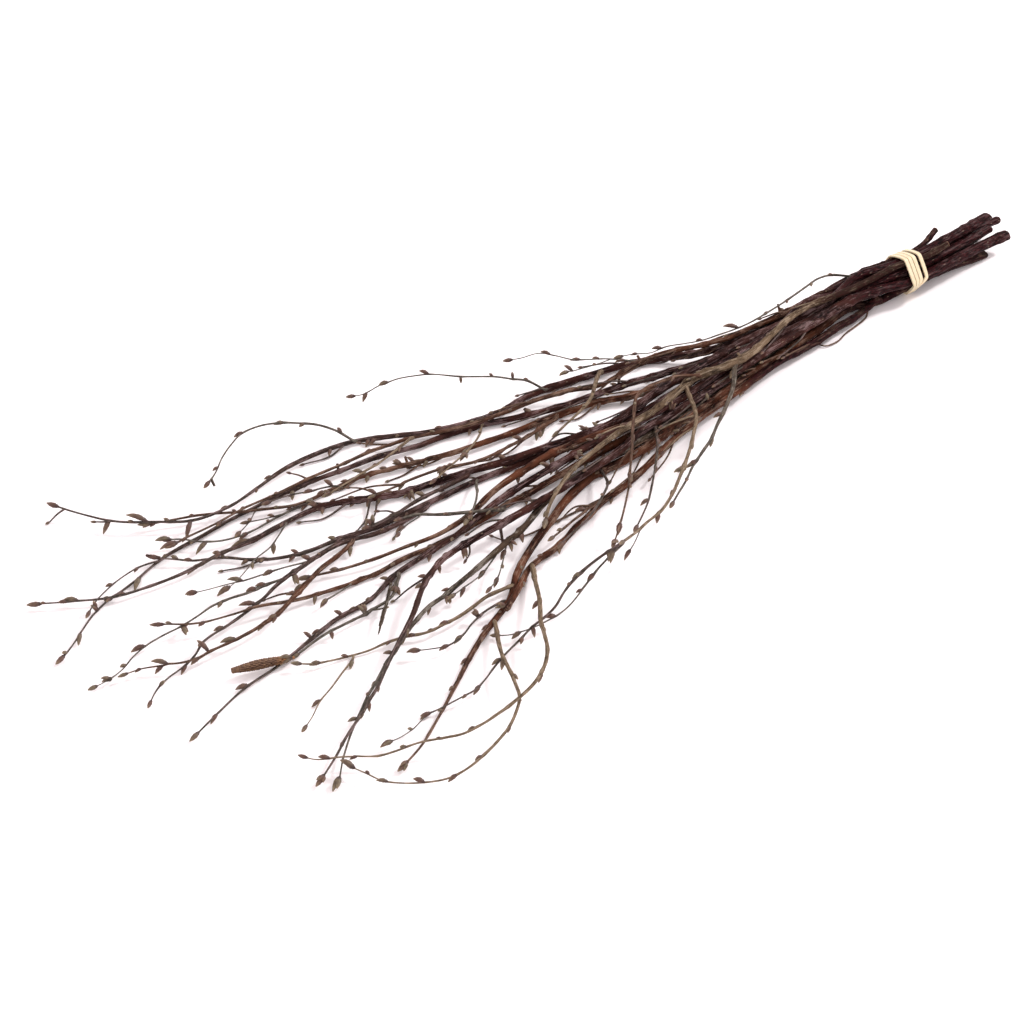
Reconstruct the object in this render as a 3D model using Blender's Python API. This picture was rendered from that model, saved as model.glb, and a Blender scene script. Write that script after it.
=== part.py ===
# A bundle of birch twigs, tied near its cut ends with a rubber band and lying on a table.
# +X runs along the bundle towards the cut ends, +Z is up, and the origin is under the
# middle of the bundle at table height.

import math

import bmesh
import bpy
import numpy as np

for old in list(bpy.data.objects):
    bpy.data.objects.remove(old, do_unlink=True)

# Driving sizes, in millimetres
TOUCH_GAP = 0.32
STEM_STEP = 20.0
TWIG_STEP = 10.0
TUBE_SIDES_SETTING = 1
CURVE_STEPS = 8
UNEVEN = 0.05
UNEVEN_MOST = 0.10
METRES = 0.001
TINY = 1e-6

# The rubber band: a doubled loop wound twice, so four flat strands lie side by side. They
# fan out over the top and bunch up low on the near side.
BAND_STRANDS = 4
BAND_STRAND_WIDTH = 2.2
BAND_WIDE_PITCH = 2.6
BAND_TIGHT_PITCH = 1.3
BAND_STRAND_GAP = 0.35
BAND_THICKNESS = 0.9
BAND_THICKENING = 0.5
BAND_LAST_STRAND_APART = 1.5
BAND_BUNCH_SHIFT = -1.6
BAND_BUNCH_ANGLE = math.radians(230.0)
BAND_BUNCH_HALF = math.radians(15.0)
BAND_FAN_HALF = math.radians(90.0)
BAND_CHANGE_FROM = math.radians(250.0)
BAND_CHANGE_TO = math.radians(305.0)
BAND_STEP = math.radians(15.0)
BAND_HALF_REACH = 6.5
BAND_END_STEPS = 4
BAND_SLOPE_SPAN = math.radians(3.0)

# The view that the routes were read in: a picture 1024 pixels wide, seen from above the
# tips. A route's points are picture pixels, and each point has a height over the table.
VIEW_DISTANCE = 1453.5
VIEW_RISE = math.radians(42.0)
VIEW_TURN = math.radians(40.0)
PIXELS_DEEP = 2844.0
PICTURE_MIDDLE = 512.0
TIE_PIXEL = (904.0, 271.5)
TIE_HEIGHT = 10.4
TIE_HALF_LENGTH = 9.0
TIE_HOLD_REACH = 18.0
TIE_ROOM_BELOW = 1.3
TIE_TURN = math.radians(-8.0)

AHEAD = np.array([math.sin(VIEW_TURN) * math.cos(VIEW_RISE),
                  math.cos(VIEW_TURN) * math.cos(VIEW_RISE),
                  -math.sin(VIEW_RISE)])
RIGHT = np.array([math.cos(VIEW_TURN), -math.sin(VIEW_TURN), 0.0])
UPWARD = np.cross(RIGHT, AHEAD)
EYE = -VIEW_DISTANCE * AHEAD

# The bundle's direction at the tie, and the two directions across it as the viewer sees them
AXIS = np.array([math.cos(TIE_TURN), math.sin(TIE_TURN), 0.0])
ASIDE = np.array([-math.sin(TIE_TURN), math.cos(TIE_TURN), 0.0])
NEARER = -AHEAD + AXIS * np.dot(AXIS, AHEAD)
NEARER /= np.linalg.norm(NEARER)
HIGHER = np.cross(NEARER, AXIS)

BARK_DARK = (0.050, 0.022, 0.020)
BARK_BROWN = (0.095, 0.045, 0.030)
BARK_TAN = (0.200, 0.130, 0.080)
BARK_GREY = (0.110, 0.085, 0.065)
CATKIN_BROWN = (0.160, 0.085, 0.045)
RUBBER_CREAM = (0.780, 0.640, 0.430)
BARK_ROUGHNESS = 0.65
RUBBER_ROUGHNESS = 0.55

# Each stem: its cut end (pixel and height), its place in the tie (up in the picture and
# towards the viewer), its widths from cut end to tip, its bark, its heights from tie to
# tip, its route.
STEMS = {
    "stem_crest": dict(
        cut=(936, 229, 17), slot=(7.4, 0.6), widths=(3.4, 3.0, 3.0, 2.4, 1.8, 1.1), bark=BARK_BROWN,
        rise=(16, 15, 14, 12, 10, 9, 8, 7),
        route=[(862, 274), (820, 294), (780, 315), (745, 330), (715, 343), (690, 347),
               (660, 354), (640, 362), (600, 380), (560, 391), (530, 402), (500, 414),
               (470, 425), (442, 432), (411, 438), (385, 447), (350, 460), (322, 473),
               (308, 480), (280, 491), (255, 504), (235, 513), (215, 524), (188, 537),
               (166, 548)]),
    "stem_far": dict(
        cut=(998, 220, 9), slot=(4.4, -3.0), widths=(4.6, 4.2, 4.1, 3.0, 2.1, 1.0), bark=BARK_DARK,
        rise=(11, 11, 12, 11, 9, 7, 6, 5),
        route=[(862, 280), (820, 300), (780, 321), (745, 339), (715, 351), (680, 357),
               (645, 362), (600, 376), (560, 387), (543, 391), (512, 405), (491, 416),
               (442, 430), (411, 434), (355, 441), (330, 450), (303, 458), (271, 478),
               (241, 500), (225, 509), (200, 519), (183, 521), (150, 522), (125, 522),
               (108, 520), (66, 510), (47, 503)]),
    "stem_second": dict(
        cut=(985, 226, 6), slot=(2.2, -6.4), widths=(4.4, 4.1, 3.8, 3.1, 2.1, 0.9), bark=BARK_DARK,
        rise=(7.5, 8, 8, 7, 6, 4, 3, 2),
        route=[(860, 284), (800, 315), (740, 345), (700, 362), (670, 371), (650, 378),
               (635, 383), (615, 387), (600, 394), (580, 400), (556, 408), (525, 416),
               (496, 423), (470, 428), (452, 433), (421, 444), (404, 451), (385, 455),
               (360, 463), (340, 471), (322, 478), (305, 484), (285, 493), (262, 504),
               (240, 515), (222, 525), (205, 535), (185, 546), (165, 557), (152, 568),
               (138, 579), (113, 598), (100, 606), (90, 620), (79, 637), (60, 655),
               (56, 664)]),
    "stem_third": dict(
        cut=(980, 229, 6), slot=(0.1, -3.4), widths=(4.4, 4.1, 4.0, 3.2, 2.2, 1.0), bark=BARK_BROWN,
        rise=(10, 8, 7, 8, 7, 5, 4, 4),
        route=[(862, 282), (800, 318), (750, 345), (700, 370), (650, 392), (620, 398),
               (590, 405), (565, 416), (540, 425), (500, 438), (465, 449), (440, 456),
               (420, 462), (400, 467), (380, 471), (362, 477), (345, 484), (330, 492),
               (318, 500), (300, 506), (280, 510), (250, 513), (225, 513), (200, 517),
               (180, 519), (160, 521), (138, 525)]),
    "stem_fourth": dict(
        cut=(989, 216, 16), slot=(3.9, 3.2), widths=(5.6, 4.5, 4.5, 3.9, 2.5, 1.0), bark=BARK_DARK,
        rise=(16.5, 14, 12, 10, 8, 6, 4, 3),
        route=[(862, 277), (800, 310), (750, 338), (700, 366), (660, 390), (630, 412),
               (600, 430), (570, 440), (540, 450), (500, 466), (460, 477), (440, 483),
               (420, 488), (400, 494), (370, 499), (340, 502), (318, 508), (300, 516),
               (290, 522), (265, 535), (250, 542), (235, 548), (222, 554), (205, 563),
               (175, 577), (145, 588), (113, 597), (90, 599), (65, 602), (40, 607),
               (27, 605)]),
    "stem_fifth": dict(
        cut=(990, 228, 13), slot=(0.1, 3.2), widths=(5.2, 4.4, 4.2, 3.6, 2.5, 1.0), bark=BARK_DARK,
        rise=(13, 12, 11, 9, 8, 6, 5, 4),
        route=[(862, 288), (800, 322), (750, 350), (700, 378), (650, 408), (610, 428),
               (580, 440), (545, 453), (500, 472), (475, 485), (450, 498), (430, 507),
               (410, 517), (395, 523), (380, 528), (360, 532), (345, 537), (330, 543),
               (315, 550), (295, 555), (270, 559), (240, 558), (225, 557), (200, 559),
               (185, 560), (165, 557), (146, 556)]),
    "stem_arched": dict(
        cut=(975, 236, 8), slot=(-2.0, -0.3), widths=(4.8, 4.4, 4.4, 4.3, 2.9, 1.2), bark=BARK_BROWN,
        rise=(10, 11, 12, 12, 11, 8, 6, 5),
        route=[(862, 290), (800, 325), (750, 355), (700, 387), (660, 410), (620, 428),
               (580, 442), (550, 455), (530, 467), (510, 479), (493, 492), (480, 506),
               (465, 521), (450, 530), (430, 537), (410, 545), (385, 554), (370, 561),
               (350, 567), (335, 570), (318, 574), (297, 579)]),
    "stem_middle": dict(
        cut=(968, 240, 3), slot=(-2.0, -6.4), widths=(4.2, 4.1, 4.2, 3.6, 2.5, 0.9), bark=BARK_BROWN,
        rise=(5, 7, 9, 9, 8, 6, 5, 4),
        route=[(862, 290), (800, 327), (750, 358), (700, 395), (650, 425), (600, 452),
               (560, 475), (530, 493), (500, 509), (475, 524), (450, 539), (430, 549),
               (410, 556), (390, 565), (372, 577), (352, 584), (330, 592), (310, 597),
               (290, 601), (265, 605), (250, 609), (235, 614), (215, 619), (195, 623),
               (180, 626), (165, 627), (150, 625)]),
    "stem_forked": dict(
        cut=(970, 231, 12), slot=(2.0, 0.0), widths=(4.6, 4.1, 4.2, 3.5, 2.5, 0.9), bark=BARK_DARK,
        rise=(11.5, 13, 14, 13, 11, 8, 5, 3),
        route=[(862, 286), (800, 320), (750, 350), (700, 383), (650, 415), (600, 440),
               (560, 463), (520, 487), (490, 508), (465, 528), (445, 545), (425, 557),
               (405, 572), (390, 589), (378, 598), (360, 608), (335, 621), (318, 633),
               (303, 647), (287, 661), (265, 675), (243, 690), (215, 716), (197, 733),
               (190, 741)]),
    "stem_grey": dict(
        cut=(972, 246, 2.6), slot=(-4.3, -2.8), widths=(4.2, 4.2, 4.1, 3.6, 2.3, 0.9), bark=BARK_GREY,
        rise=(5.5, 5, 7, 9, 9, 7, 5, 3),
        route=[(862, 297), (800, 333), (750, 366), (700, 402), (660, 428), (630, 447),
               (600, 463), (570, 481), (550, 496), (535, 512), (522, 532), (512, 545),
               (499, 553), (471, 575), (441, 599), (417, 618), (404, 637), (390, 657),
               (378, 679), (365, 702), (355, 722), (348, 740), (344, 757), (340, 773),
               (337, 788)]),
    "stem_thick": dict(
        cut=(1007, 235, 9), slot=(-2.9, 5.7), widths=(6.6, 5.0, 4.6, 4.0, 2.7, 1.0), bark=BARK_DARK,
        rise=(13.5, 12, 11, 11, 10, 9, 6, 3),
        route=[(862, 293), (800, 330), (750, 362), (700, 397), (655, 428), (615, 455),
               (580, 477), (550, 496), (520, 514), (490, 530), (465, 545), (443, 559),
               (432, 572), (422, 588), (417, 605), (408, 625), (397, 645), (388, 664),
               (380, 682), (370, 700), (360, 716), (350, 732), (340, 750), (330, 766),
               (316, 786)]),
    "stem_near": dict(
        cut=(985, 254, 2.3), slot=(-5.7, 1.6), widths=(5.0, 4.2, 4.4, 4.4, 3.2, 1.1), bark=BARK_BROWN,
        rise=(8, 7, 8, 9, 8, 6, 4, 2),
        route=[(862, 300), (800, 342), (750, 375), (710, 402), (680, 422), (645, 448),
               (610, 468), (580, 487), (560, 508), (545, 530), (530, 550), (521, 565),
               (508, 592), (494, 620), (485, 638), (467, 661), (457, 683), (446, 703),
               (435, 722), (427, 738), (413, 756), (398, 771)]),
    "stem_tan": dict(
        cut=(948, 243, 18), slot=(1.5, 6.4), widths=(3.6, 3.3, 3.6, 4.2, 2.7, 1.6), bark=BARK_TAN,
        rise=(16.5, 18, 21, 22, 22, 20, 17, 14),
        route=[(870, 280), (845, 292), (820, 301), (790, 318), (770, 336), (752, 355),
               (740, 367), (722, 373), (703, 380), (690, 391), (665, 406), (645, 418),
               (620, 432), (600, 446), (585, 459), (568, 475), (556, 492), (548, 510),
               (544, 528)]),
}

# Each side twig: what it grows from, its widths, its bark, its heights, and its route from
# the fork outwards.
TWIGS = {
    "stem_front": dict(
        grows_from="stem_near", widths=(4.3, 3.5, 3.0), bark=BARK_BROWN, rise=(7, 5, 6, 7, 6, 5, 5),
        route=[(874, 303), (868, 309), (855, 318), (840, 326), (820, 339), (800, 350), (780, 361),
               (745, 386), (720, 404), (700, 418), (673, 440), (650, 463), (625, 486), (605, 499),
               (590, 515), (575, 528), (560, 545), (545, 556), (532, 568), (520, 585),
               (512, 600), (506, 609)]),
    "twig_crest_loop": dict(
        grows_from="stem_crest", widths=(1.8, 0.7), bark=BARK_GREY, rise=(17, 20, 22, 20, 17, 15),
        route=[(848, 274), (840, 272), (832, 273), (820, 277), (800, 291), (781, 304),
               (760, 317), (745, 325), (735, 329), (718, 335), (700, 341), (675, 345),
               (660, 348), (650, 353), (635, 354), (614, 358)]),
    "twig_whip": dict(
        grows_from="stem_far", widths=(1.2, 0.7), bark=BARK_GREY, rise=(14, 18, 22, 20, 16),
        route=[(643, 362), (620, 360), (600, 359), (577, 360), (560, 357), (545, 353),
               (530, 355), (512, 361), (503, 361)]),
    "twig_whip_side": dict(
        grows_from="twig_whip", widths=(0.9, 0.7), bark=BARK_GREY, rise=(16, 17, 16),
        route=[(610, 360), (600, 364), (580, 369), (565, 372), (560, 374)]),
    "twig_long_curl": dict(
        grows_from="stem_far", widths=(1.6, 0.8), bark=BARK_GREY, rise=(12, 18, 22, 20, 14),
        route=[(541, 388), (533, 383), (524, 380), (510, 378), (490, 377), (460, 376),
               (440, 375), (424, 375), (401, 378), (388, 381), (375, 388), (368, 393),
               (358, 396), (346, 397)]),
    "twig_round_curl": dict(
        grows_from="stem_far", widths=(1.8, 0.9), bark=BARK_GREY, rise=(10, 16, 22, 20, 14),
        route=[(352, 438), (343, 434), (331, 428), (315, 424), (300, 423), (281, 423),
               (263, 425), (250, 430), (241, 434), (230, 446), (222, 458), (216, 468),
               (213, 480), (204, 488)]),
    "twig_tan_bridge": dict(
        grows_from="stem_far", widths=(2.7, 2.1, 1.1), bark=BARK_TAN, rise=(15, 18, 19, 17, 12),
        route=[(600, 381), (598, 388), (595, 396), (588, 404), (580, 412), (565, 425),
               (552, 437)]),
    "twig_tan_cross": dict(
        grows_from="stem_second", widths=(1.5, 1.0), bark=BARK_TAN, rise=(10, 13, 13, 12, 10),
        route=[(481, 427), (480, 433), (475, 442), (469, 450), (460, 458), (450, 467),
               (440, 476), (430, 484)]),
    "twig_tan_fork": dict(
        grows_from="stem_crest", widths=(1.9, 1.1), bark=BARK_TAN, rise=(12, 13, 13, 11),
        route=[(410, 440), (403, 446), (390, 455), (372, 467), (358, 476), (345, 484),
               (335, 489), (322, 497)]),
    "twig_slant": dict(
        grows_from="twig_tan_fork", widths=(1.4, 1.0), bark=BARK_DARK, rise=(10, 8, 7),
        route=[(340, 486), (322, 488), (305, 492), (290, 496), (275, 500), (262, 505)]),
    "twig_third_side": dict(
        grows_from="stem_third", widths=(2.6, 2.1, 1.4), bark=BARK_BROWN, rise=(12, 12, 11, 10, 9),
        route=[(555, 422), (540, 430), (520, 441), (500, 451), (485, 459), (470, 463),
               (455, 466), (440, 469), (425, 474), (408, 481), (392, 488), (378, 494),
               (368, 498)]),
    "twig_fourth_side": dict(
        grows_from="stem_fourth", widths=(2.9, 2.5, 1.6), bark=BARK_DARK, rise=(10, 10, 9, 8),
        route=[(465, 480), (452, 485), (440, 490), (425, 497), (410, 505), (400, 511),
               (390, 518), (375, 524), (362, 529)]),
    "twig_short_drop": dict(
        grows_from="stem_fifth", widths=(1.7, 1.2), bark=BARK_GREY, rise=(14, 16, 15, 12),
        route=[(475, 484), (477, 492), (476, 500), (473, 508), (469, 516), (464, 525)]),
    "twig_grey_arm": dict(
        grows_from="stem_middle", widths=(2.5, 2.0, 1.4), bark=BARK_GREY, rise=(14, 15, 14, 12),
        route=[(500, 510), (490, 510), (480, 511), (463, 512), (448, 515), (435, 515),
               (425, 514), (415, 517), (405, 519), (394, 521)]),
    "twig_grey_tip": dict(
        grows_from="twig_grey_arm", widths=(0.9, 0.8), bark=BARK_GREY, rise=(12, 12, 11),
        route=[(417, 520), (408, 524), (401, 530), (396, 537)]),
    "twig_low_tip": dict(
        grows_from="stem_second", widths=(1.3, 0.9), bark=BARK_DARK, rise=(6, 5, 4),
        route=[(160, 560), (140, 566), (129, 572), (112, 586), (99, 598), (92, 608),
               (86, 618)]),
    "twig_wavy": dict(
        grows_from="stem_third", widths=(1.6, 1.1), bark=BARK_GREY, rise=(7, 6, 5, 5),
        route=[(312, 505), (298, 510), (285, 515), (272, 521), (250, 532), (232, 538),
               (215, 542), (200, 542), (185, 540), (175, 538), (161, 540)]),
    "twig_wavy_side": dict(
        grows_from="twig_wavy", widths=(0.9, 0.9), bark=BARK_GREY, rise=(7, 7, 6),
        route=[(286, 513), (270, 517), (252, 521), (240, 523)]),
    "twig_small_drop": dict(
        grows_from="stem_third", widths=(0.9, 0.8), bark=BARK_DARK, rise=(7, 8, 7),
        route=[(256, 516), (250, 523), (243, 530), (235, 537)]),
    "twig_zigzag": dict(
        grows_from="stem_fourth", widths=(1.2, 0.7), bark=BARK_GREY, rise=(8, 8, 7, 6),
        route=[(287, 526), (281, 533), (273, 544), (264, 553), (255, 560), (247, 570),
               (237, 581), (222, 592)]),
    "twig_left_long": dict(
        grows_from="stem_fifth", widths=(3.0, 2.8, 2.2, 1.5, 0.9), bark=BARK_DARK, rise=(8, 7, 5, 4, 3),
        route=[(425, 512), (415, 517), (400, 524), (385, 530), (370, 537), (355, 543),
               (340, 547), (325, 552), (310, 560), (297, 568), (285, 577), (270, 591),
               (260, 603), (248, 611), (235, 620), (222, 628), (205, 641), (195, 655),
               (183, 666), (170, 677), (163, 683), (155, 694), (148, 708)]),
    "twig_left_upper": dict(
        grows_from="twig_left_long", widths=(1.3, 0.7), bark=BARK_GREY, rise=(5, 5, 4),
        route=[(303, 561), (290, 565), (270, 572), (250, 578), (235, 581), (220, 586),
               (203, 591), (187, 595)]),
    "twig_left_middle": dict(
        grows_from="twig_left_long", widths=(1.8, 1.3, 0.7), bark=BARK_GREY, rise=(4, 4, 3),
        route=[(284, 578), (265, 585), (250, 592), (235, 597), (219, 602), (205, 611),
               (190, 621), (178, 628), (160, 637), (144, 647), (133, 657), (121, 671),
               (112, 678), (88, 690)]),
    "twig_left_lower": dict(
        grows_from="twig_left_long", widths=(3.0, 2.8, 2.2, 1.5, 0.9), bark=BARK_BROWN,
        rise=(7, 6, 5, 4, 3),
        route=[(351, 548), (343, 554), (335, 559), (325, 566), (315, 575), (305, 586),
               (297, 594), (288, 604), (278, 613), (265, 624), (250, 632), (238, 638),
               (222, 646), (208, 653), (195, 659), (182, 663), (165, 665), (150, 667),
               (130, 673), (118, 677)]),
    "twig_middle_side": dict(
        grows_from="stem_middle", widths=(1.1, 1.1), bark=BARK_GREY, rise=(6, 5, 4),
        route=[(349, 588), (340, 593), (332, 598), (322, 603)]),
    "twig_catkin": dict(
        grows_from="stem_forked", widths=(2.0, 1.5), bark=BARK_GREY, rise=(12, 10, 9, 8),
        route=[(400, 582), (395, 592), (388, 600), (378, 607), (365, 613), (350, 622),
               (330, 632), (315, 642), (302, 651), (291, 659)]),
    "twig_frayed": dict(
        grows_from="stem_forked", widths=(1.4, 2.4, 2.2, 0.8), bark=BARK_GREY, rise=(13, 11, 8, 6),
        route=[(397, 588), (391, 600), (386, 611), (381, 624), (378, 636)]),
    "twig_grey_side": dict(
        grows_from="stem_grey", widths=(1.2, 0.9), bark=BARK_GREY, rise=(9, 8, 7),
        route=[(496, 562), (490, 569), (483, 575), (470, 583), (463, 590), (455, 595),
               (448, 599)]),
    "twig_grey_drop": dict(
        grows_from="stem_grey", widths=(1.0, 0.9), bark=BARK_GREY, rise=(10, 11, 9),
        route=[(508, 554), (505, 560), (501, 572), (497, 580), (491, 588), (486, 593)]),
    "twig_tan_sweep": dict(
        grows_from="stem_near", widths=(2.4, 1.0), bark=BARK_TAN, rise=(7, 6, 4, 3, 4),
        route=[(503, 588), (490, 593), (478, 602), (465, 613), (443, 625), (425, 633),
               (409, 636), (391, 641), (375, 648), (358, 656), (340, 659), (315, 664),
               (300, 662), (291, 663)]),
    "twig_tan_sweep_side": dict(
        grows_from="twig_tan_sweep", widths=(1.3, 0.7), bark=BARK_TAN, rise=(4, 3, 3),
        route=[(354, 660), (348, 665), (337, 682), (330, 690), (322, 699), (318, 708),
               (312, 718), (302, 732)]),
    "twig_dark_bend": dict(
        grows_from="stem_near", widths=(1.6, 0.7), bark=BARK_DARK, rise=(7, 6, 5, 4),
        route=[(495, 601), (487, 606), (477, 616), (470, 625), (461, 638), (452, 643),
               (442, 647), (425, 650), (410, 652)]),
    "twig_outer_loop": dict(
        grows_from="stem_front", widths=(2.7, 2.4, 1.9, 1.4, 0.8), bark=BARK_TAN,
        rise=(8, 13, 15, 11, 7, 5, 4),
        route=[(532, 571), (535, 580), (538, 592), (540, 605), (541, 620), (544, 632),
               (547, 645), (547, 657), (543, 670), (537, 680), (528, 690), (517, 699),
               (505, 708), (485, 723), (466, 733), (445, 737), (425, 741), (400, 750),
               (380, 755), (360, 757), (342, 757), (325, 758), (305, 760), (298, 755)]),
    "twig_inner_loop": dict(
        grows_from="stem_near", widths=(2.5, 2.2, 1.8, 1.3, 0.7), bark=BARK_TAN,
        rise=(8, 11, 11, 8, 5, 4),
        route=[(496, 628), (498, 638), (500, 648), (503, 656), (508, 667), (515, 683),
               (520, 694), (519, 702), (515, 715), (508, 728), (497, 742), (482, 757),
               (465, 770), (452, 777), (435, 781), (420, 783), (400, 783), (384, 781),
               (365, 773), (346, 764)]),
    "twig_tan_drop": dict(
        grows_from="stem_tan", widths=(2.7, 2.3, 1.7), bark=BARK_TAN, rise=(24, 24, 20, 15, 10, 8),
        route=[(691, 397), (694, 405), (697, 415), (696, 425), (692, 440), (688, 455),
               (684, 467), (678, 481), (672, 494), (666, 505), (660, 513), (650, 521),
               (638, 531), (628, 540), (618, 547)]),
    "twig_long_drop": dict(
        grows_from="stem_tan", widths=(2.7, 2.1, 1.2), bark=BARK_GREY, rise=(22, 22, 18, 14, 10, 8),
        route=[(738, 374), (736, 383), (731, 396), (726, 407), (721, 417), (716, 428),
               (712, 438), (704, 450), (697, 459), (690, 472), (683, 486), (676, 497),
               (670, 508)]),
    "twig_red_arch": dict(
        grows_from="stem_tan", widths=(2.5, 2.2, 1.7, 1.0), bark=BARK_BROWN,
        rise=(23, 24, 24, 22, 18, 12, 8),
        route=[(697, 376), (690, 374), (680, 376), (665, 380), (650, 386), (640, 392),
               (635, 401), (634, 415), (633, 430), (632, 445), (631, 460), (630, 475),
               (628, 490), (625, 505), (621, 522), (616, 537), (612, 548)]),
    "twig_front_drop": dict(
        grows_from="stem_thick", widths=(1.9, 1.1), bark=BARK_DARK, rise=(14, 16, 14, 10, 8),
        route=[(657, 434), (658, 445), (657, 457), (655, 470), (652, 485), (649, 498),
               (645, 510), (640, 520), (634, 532)]),
    "twig_drop_tip": dict(
        grows_from="twig_tan_drop", widths=(1.0, 0.9), bark=BARK_GREY, rise=(8, 7, 6),
        route=[(641, 533), (635, 543), (627, 554)]),
    "twig_front_arch": dict(
        grows_from="stem_near", widths=(1.9, 1.3), bark=BARK_DARK, rise=(13, 16, 15, 12, 9),
        route=[(600, 472), (605, 476), (607, 484), (605, 492), (599, 503), (590, 515),
               (580, 526), (568, 537), (558, 548)]),
    "twig_front_side": dict(
        grows_from="stem_front", widths=(1.9, 1.4), bark=BARK_BROWN, rise=(9, 9, 8),
        route=[(597, 500), (585, 510), (570, 523), (558, 534), (548, 541)]),
    "twig_low_run": dict(
        grows_from="twig_tan_drop", widths=(1.9, 1.0), bark=BARK_DARK, rise=(8, 8, 7, 6, 6, 7),
        route=[(612, 550), (605, 555), (595, 561), (580, 573), (570, 585), (560, 598),
               (552, 611), (540, 620), (528, 631), (515, 644), (507, 652), (500, 661),
               (490, 672), (479, 687), (465, 696), (446, 706), (435, 712), (421, 717)]),
    "twig_low_run_side": dict(
        grows_from="twig_tan_drop", widths=(1.6, 0.8), bark=BARK_GREY, rise=(7, 6, 5, 5, 4),
        route=[(622, 548), (612, 557), (603, 563), (596, 571), (588, 582), (578, 596),
               (570, 605), (560, 613), (548, 620), (535, 627), (527, 630), (518, 633),
               (505, 636), (490, 635)]),
    "twig_low_run_tip": dict(
        grows_from="twig_low_run", widths=(0.8, 0.7), bark=BARK_GREY, rise=(6, 5, 4),
        route=[(427, 719), (415, 728), (400, 738), (392, 744), (384, 745)]),
    "catkin": dict(
        grows_from="twig_catkin", widths=(2.4, 4.0, 4.2, 4.0, 3.2, 1.6), bark=CATKIN_BROWN,
        rise=(8, 7, 6, 5),
        route=[(284, 662), (271, 664), (258, 666), (246, 668), (235, 670)]),
}

# How the twigs give way to each other
SETTLE_ROUNDS = 420
LAST_ROUNDS = 160
PAIRS_EVERY = 10
PAIR_MARGIN = 3.0
HOLD_PICTURE = 0.16
HOLD_HEIGHT = 0.012
HOLD_TIE = 0.25
HOLD_FORK = 0.30
HOLD_SHAPE = 0.22
PUSH_IN_PICTURE = 0.45
PUSH_SHARE = 0.8
LAST_PUSH_SHARE = 1.0
FORK_LOOKS = 9


def in_view(pixel_x, pixel_y, height):
    """The place at this height over the table that this pixel shows."""
    sight = (AHEAD * PIXELS_DEEP + RIGHT * (pixel_x - PICTURE_MIDDLE)
             - UPWARD * (pixel_y - PICTURE_MIDDLE))
    return EYE + sight * ((height - EYE[2]) / sight[2])


def even_run(points, step):
    """Points a step apart along a smooth curve through the given points."""
    points = np.asarray(points)
    before = 2.0 * points[:1] - points[1:2]
    after = 2.0 * points[-1:] - points[-2:-1]
    knots = np.concatenate([before, points, after])
    fine = []
    for a, b, c, d in zip(knots, knots[1:], knots[2:], knots[3:]):
        for t in np.arange(CURVE_STEPS) / CURVE_STEPS:
            fine.append(b + 0.5 * t * (c - a + t * (2.0 * a - 5.0 * b + 4.0 * c - d
                                                    + t * (3.0 * (b - c) + d - a))))
    fine.append(points[-1])
    fine = np.array(fine)
    along = np.concatenate([[0.0], np.cumsum(np.linalg.norm(np.diff(fine, axis=0), axis=1))])
    count = max(3, int(round(along[-1] / step)) + 1)
    marks = np.linspace(0.0, along[-1], count)
    return np.stack([np.interp(marks, along, fine[:, axis]) for axis in range(3)], axis=1)


def raised(route, rise):
    """The route's pixels as places, with the heights spread evenly along it."""
    pixels = np.array(route, dtype=float)
    along = np.concatenate([[0.0], np.cumsum(np.linalg.norm(np.diff(pixels, axis=0), axis=1))])
    heights = np.interp(along / along[-1], np.linspace(0.0, 1.0, len(rise)), rise)
    return [in_view(x, y, height) for (x, y), height in zip(pixels, heights)]


def stem_run(stem):
    higher, nearer = stem["slot"]
    middle = in_view(*TIE_PIXEL, TIE_HEIGHT) + HIGHER * higher + NEARER * nearer
    held = [middle + AXIS * reach for reach in (TIE_HALF_LENGTH, -TIE_HALF_LENGTH)]
    return even_run([in_view(*stem["cut"])] + held + raised(stem["route"], stem["rise"]), STEM_STEP)


def nearest_on_segments(start_a, end_a, start_b, end_b):
    """Where each pair of straight pieces comes closest, as fractions along both."""
    run_a = end_a - start_a
    run_b = end_b - start_b
    apart = start_a - start_b
    aa = np.einsum("ij,ij->i", run_a, run_a)
    bb = np.einsum("ij,ij->i", run_b, run_b)
    ab = np.einsum("ij,ij->i", run_a, run_b)
    ac = np.einsum("ij,ij->i", run_a, apart)
    bc = np.einsum("ij,ij->i", run_b, apart)
    slack = np.maximum(aa * bb - ab * ab, TINY)
    on_a = np.clip((ab * bc - ac * bb) / slack, 0.0, 1.0)
    on_b = np.clip((ab * on_a + bc) / bb, 0.0, 1.0)
    on_a = np.clip((ab * on_b - ac) / aa, 0.0, 1.0)
    return on_a, on_b


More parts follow.
